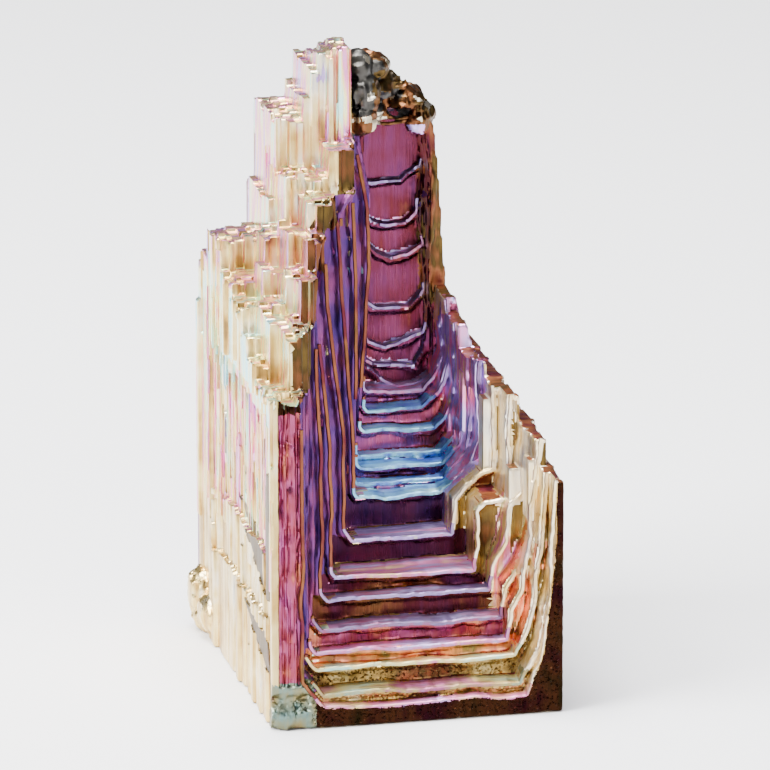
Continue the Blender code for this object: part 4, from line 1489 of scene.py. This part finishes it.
@dataclass(frozen=True)
class OxidisedBismuth:
    """Bismuth grown from its melt under an oxide film a few hundred nanometres thick.

    The metal gives a bright, slightly satin reflection; the film colours it, and drifts from one
    interference colour to the next as its thickness changes along a face.
    """

    streak: float = 0.55  # width of a growth streak, in mm
    streak_length: float = 9.0
    cloud: float = 3.6  # mm across one cloud of the film
    line: float = 0.16  # width of the finest growth lines, in mm
    line_length: float = 6.0
    groove: float = 0.06  # how deep they are, in mm

    def drawn_out(
        self, tree: bpy.types.NodeTree, width: float, length: float, level: bool
    ) -> bpy.types.NodeSocket:
        """A pattern drawn out along the growth direction.

        Args:
            tree: the material's nodes.
            width: of one mark, in mm.
            length: of one mark, in mm.
            level: across the crystal, as on flat treads, and not up it.

        Returns:
            The pattern, about 0.5 on average.
        """
        across, along = 1 / (width * MM), 1 / (length * MM)
        scale = (along, across, across) if level else (across, across, along)
        where = add(tree, "ShaderNodeTexCoord").outputs["Object"]
        spread = add(tree, "ShaderNodeMapping", {"Vector": where, "Scale": scale}).outputs[0]
        return add(tree, "ShaderNodeTexNoise", {"Vector": spread, "Scale": 1.0, "Detail": 3.0}).outputs[0]

    def grain(self, tree: bpy.types.NodeTree, width: float, length: float) -> bpy.types.NodeSocket:
        """Marks that stand on upright faces and lie along flat ones.

        Args:
            tree: the material's nodes.
            width: of one mark, in mm.
            length: of one mark, in mm.

        Returns:
            The pattern.
        """
        facing = add(tree, "ShaderNodeNewGeometry").outputs["Normal"]
        height = add(tree, "ShaderNodeSeparateXYZ", {0: facing}).outputs["Z"]
        flat = add(tree, "ShaderNodeMapRange", {0: height, 1: 0.4, 2: 0.8}).outputs[0]
        standing = self.drawn_out(tree, width, length, False)
        lying = self.drawn_out(tree, width, length, True)
        return add(tree, "ShaderNodeMix", {0: flat, 2: standing, 3: lying}).outputs[0]

    def film(self, tree: bpy.types.NodeTree) -> bpy.types.NodeSocket:
        """The film's colour for its thickness, which strays in streaks and in clouds.

        Args:
            tree: the material's nodes.

        Returns:
            The colour.
        """
        where = add(tree, "ShaderNodeTexCoord").outputs["Object"]
        often = {"Vector": where, "Scale": 1 / (self.cloud * MM), "Detail": 3.0}
        clouds = add(tree, "ShaderNodeTexNoise", often).outputs[0]
        thickness = add(tree, "ShaderNodeAttribute", attribute_name="tint").outputs["Fac"]
        streaks = self.grain(tree, self.streak, self.streak_length)
        for name, pattern in (("streak", streaks), ("cloud", clouds)):
            amount = add(tree, "ShaderNodeAttribute", attribute_name=name).outputs["Fac"]
            swing = add(tree, "ShaderNodeMapRange", {0: pattern, 3: -2.2, 4: 2.2}, clamp=False).outputs[0]
            stray = {0: swing, 1: amount, 2: thickness}
            thickness = add(tree, "ShaderNodeMath", stray, operation="MULTIPLY_ADD").outputs[0]
        # One turn of the ramp is one order of interference, and the next order starts it again
        order = add(tree, "ShaderNodeMath", {0: thickness, 1: 1.0, 2: 0.0}, operation="WRAP").outputs[0]
        ramp = add(tree, "ShaderNodeValToRGB", {0: order})
        stops = ramp.color_ramp.elements
        for tint in list(Tint)[1:-1]:
            stops.new(tint)
        for stop, (tint, code) in zip(stops, TINT_COLOURS.items()):
            stop.position = tint
            stop.color = linear(code)
        return ramp.outputs[0]

    def build(self) -> bpy.types.Material:
        """Makes the material.

        Returns:
            The material.
        """
        material = bpy.data.materials.new("oxidised bismuth")
        material.use_nodes = True
        tree = material.node_tree
        shader = tree.nodes["Principled BSDF"]
        # The shade attribute scales the film's colour: on some faces it is painted light, on others painted
        # shade
        shade = add(tree, "ShaderNodeAttribute", attribute_name="shade").outputs["Fac"]
        grey = add(tree, "ShaderNodeCombineColor", {0: shade, 1: shade, 2: shade}).outputs[0]
        dimmed = {0: 1.0, 6: self.film(tree), 7: grey}
        colour = add(tree, "ShaderNodeMix", dimmed, data_type="RGBA", blend_type="MULTIPLY").outputs[2]
        tree.links.new(colour, shader.inputs["Base Color"])
        shader.inputs["Metallic"].default_value = 1.0
        # Fine growth lines scatter the reflection a little and show as grooves
        lines = self.grain(tree, self.line, self.line_length)
        satin = add(tree, "ShaderNodeAttribute", attribute_name="rough").outputs["Fac"]
        varied = add(tree, "ShaderNodeMapRange", {0: lines, 1: 0.3, 2: 0.7, 3: -0.06, 4: 0.1}).outputs[0]
        rough = add(tree, "ShaderNodeMath", {0: satin, 1: varied}, operation="ADD").outputs[0]
        tree.links.new(rough, shader.inputs["Roughness"])
        grooves = {"Height": lines, "Strength": 0.35, "Distance": self.groove * MM}
        relief = add(tree, "ShaderNodeBump", grooves).outputs[0]
        tree.links.new(relief, shader.inputs["Normal"])
        return material


@dataclass(frozen=True)
class MattPaper:
    """Pale matt paper for the floor."""

    colour: str = "D8D8DA"
    roughness: float = 0.9

    def build(self) -> bpy.types.Material:
        """Makes the material.

        Returns:
            The material.
        """
        material = bpy.data.materials.new("matt paper")
        material.use_nodes = True
        shader = material.node_tree.nodes["Principled BSDF"]
        shader.inputs["Base Color"].default_value = linear(self.colour)
        shader.inputs["Roughness"].default_value = self.roughness
        return material


@dataclass(frozen=True)
class Studio:
    """Floor, lights and camera."""

    azimuth: float = -12.8
    elevation: float = 15.8
    distance: float = 0.6
    lens: float = 374.0
    centre_right: float = 8.25
    centre_up: float = 26.025
    floor_size: float = 6.0  # m

    def camera(self) -> None:
        """Sets the camera up."""
        a, e = math.radians(-self.azimuth), math.radians(self.elevation)
        right = Vector((math.cos(a), -math.sin(a), 0))
        up = Vector((math.sin(a) * math.sin(e), math.cos(a) * math.sin(e), math.cos(e)))
        view = Vector((math.sin(a) * math.cos(e), math.cos(a) * math.cos(e), -math.sin(e)))
        origin = Vector(to_world(np.zeros((1, 3)))[0])
        centre = origin + (right * self.centre_right + up * self.centre_up) * MM
        data = bpy.data.cameras.new("camera")
        data.lens = self.lens
        data.clip_start = 0.01
        data.clip_end = 20
        camera = placed("camera", data)
        camera.location = centre - view * self.distance
        camera.rotation_euler = view.to_track_quat("-Z", "Y").to_euler()
        bpy.context.scene.camera = camera

    def light(self, name: str, place: tuple, size: tuple, watts: float, colour: str = "FFFFFF") -> None:
        """Hangs a softbox that faces the crystal.

        Args:
            name: what it is called.
            place: where it hangs, in metres.
            size: its width and height, in metres.
            watts: its power.
            colour: its sRGB hex colour.
        """
        data = bpy.data.lights.new(name, "AREA")
        data.shape = "RECTANGLE"
        data.size, data.size_y = size
        data.energy = watts
        data.color = linear(colour)[:3]
        lamp = placed(name, data)
        lamp.location = place
        aim = Vector((0, 0, 0.022)) - Vector(place)
        lamp.rotation_euler = aim.to_track_quat("-Z", "Y").to_euler()

    def floor(self) -> None:
        """Lays the floor."""
        mesh = bpy.data.meshes.new("floor")
        half, low = self.floor_size / 2, -0.00005
        corners = [(-half, -half, low), (half, -half, low), (half, half, low), (-half, half, low)]
        mesh.from_pydata(corners, [], [(0, 1, 2, 3)])
        floor = placed("floor", mesh)
        mesh.materials.append(MattPaper().build())

    def build(self) -> None:
        """Sets everything up."""
        self.camera()
        self.floor()
        self.light("left softbox", (-0.4, -0.08, 0.34), (0.3, 0.4), 12.0)
        self.light("top softbox", (-0.05, 0.02, 0.5), (0.35, 0.3), 11.0)
        self.light("front fill", (0.2, -0.55, 0.22), (0.2, 0.3), 2.0)
        world = bpy.data.worlds.new("studio")
        world.use_nodes = True
        world.node_tree.nodes["Background"].inputs["Color"].default_value = linear("C8CCD4")
        world.node_tree.nodes["Background"].inputs["Strength"].default_value = 0.2
        bpy.context.scene.world = world


def main() -> None:
    """Builds every piece and sets the stage."""
    logging.basicConfig(level=logging.INFO, format="%(message)s")
    Studio().build()
    body = CrystalBody().build()
    FilmMap(body).lay()
    material = OxidisedBismuth().build()
    body.data.materials.append(material)
    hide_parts(NODE)
    lips = TerraceLips().build(material)
    FilmMap(lips, lips=True).lay()
    blades = BLADES.build(body, material)
    FilmMap(blades, BLADE).lay()
    grains = GRAINS.build(body, material)
    FilmMap(grains, GRAIN).lay()
    for piece in (body, lips, blades, grains):
        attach(piece, "root")
        LOG.info("%s: %d faces", piece.name, len(piece.data.polygons))


if __name__ == "__main__":
    main()
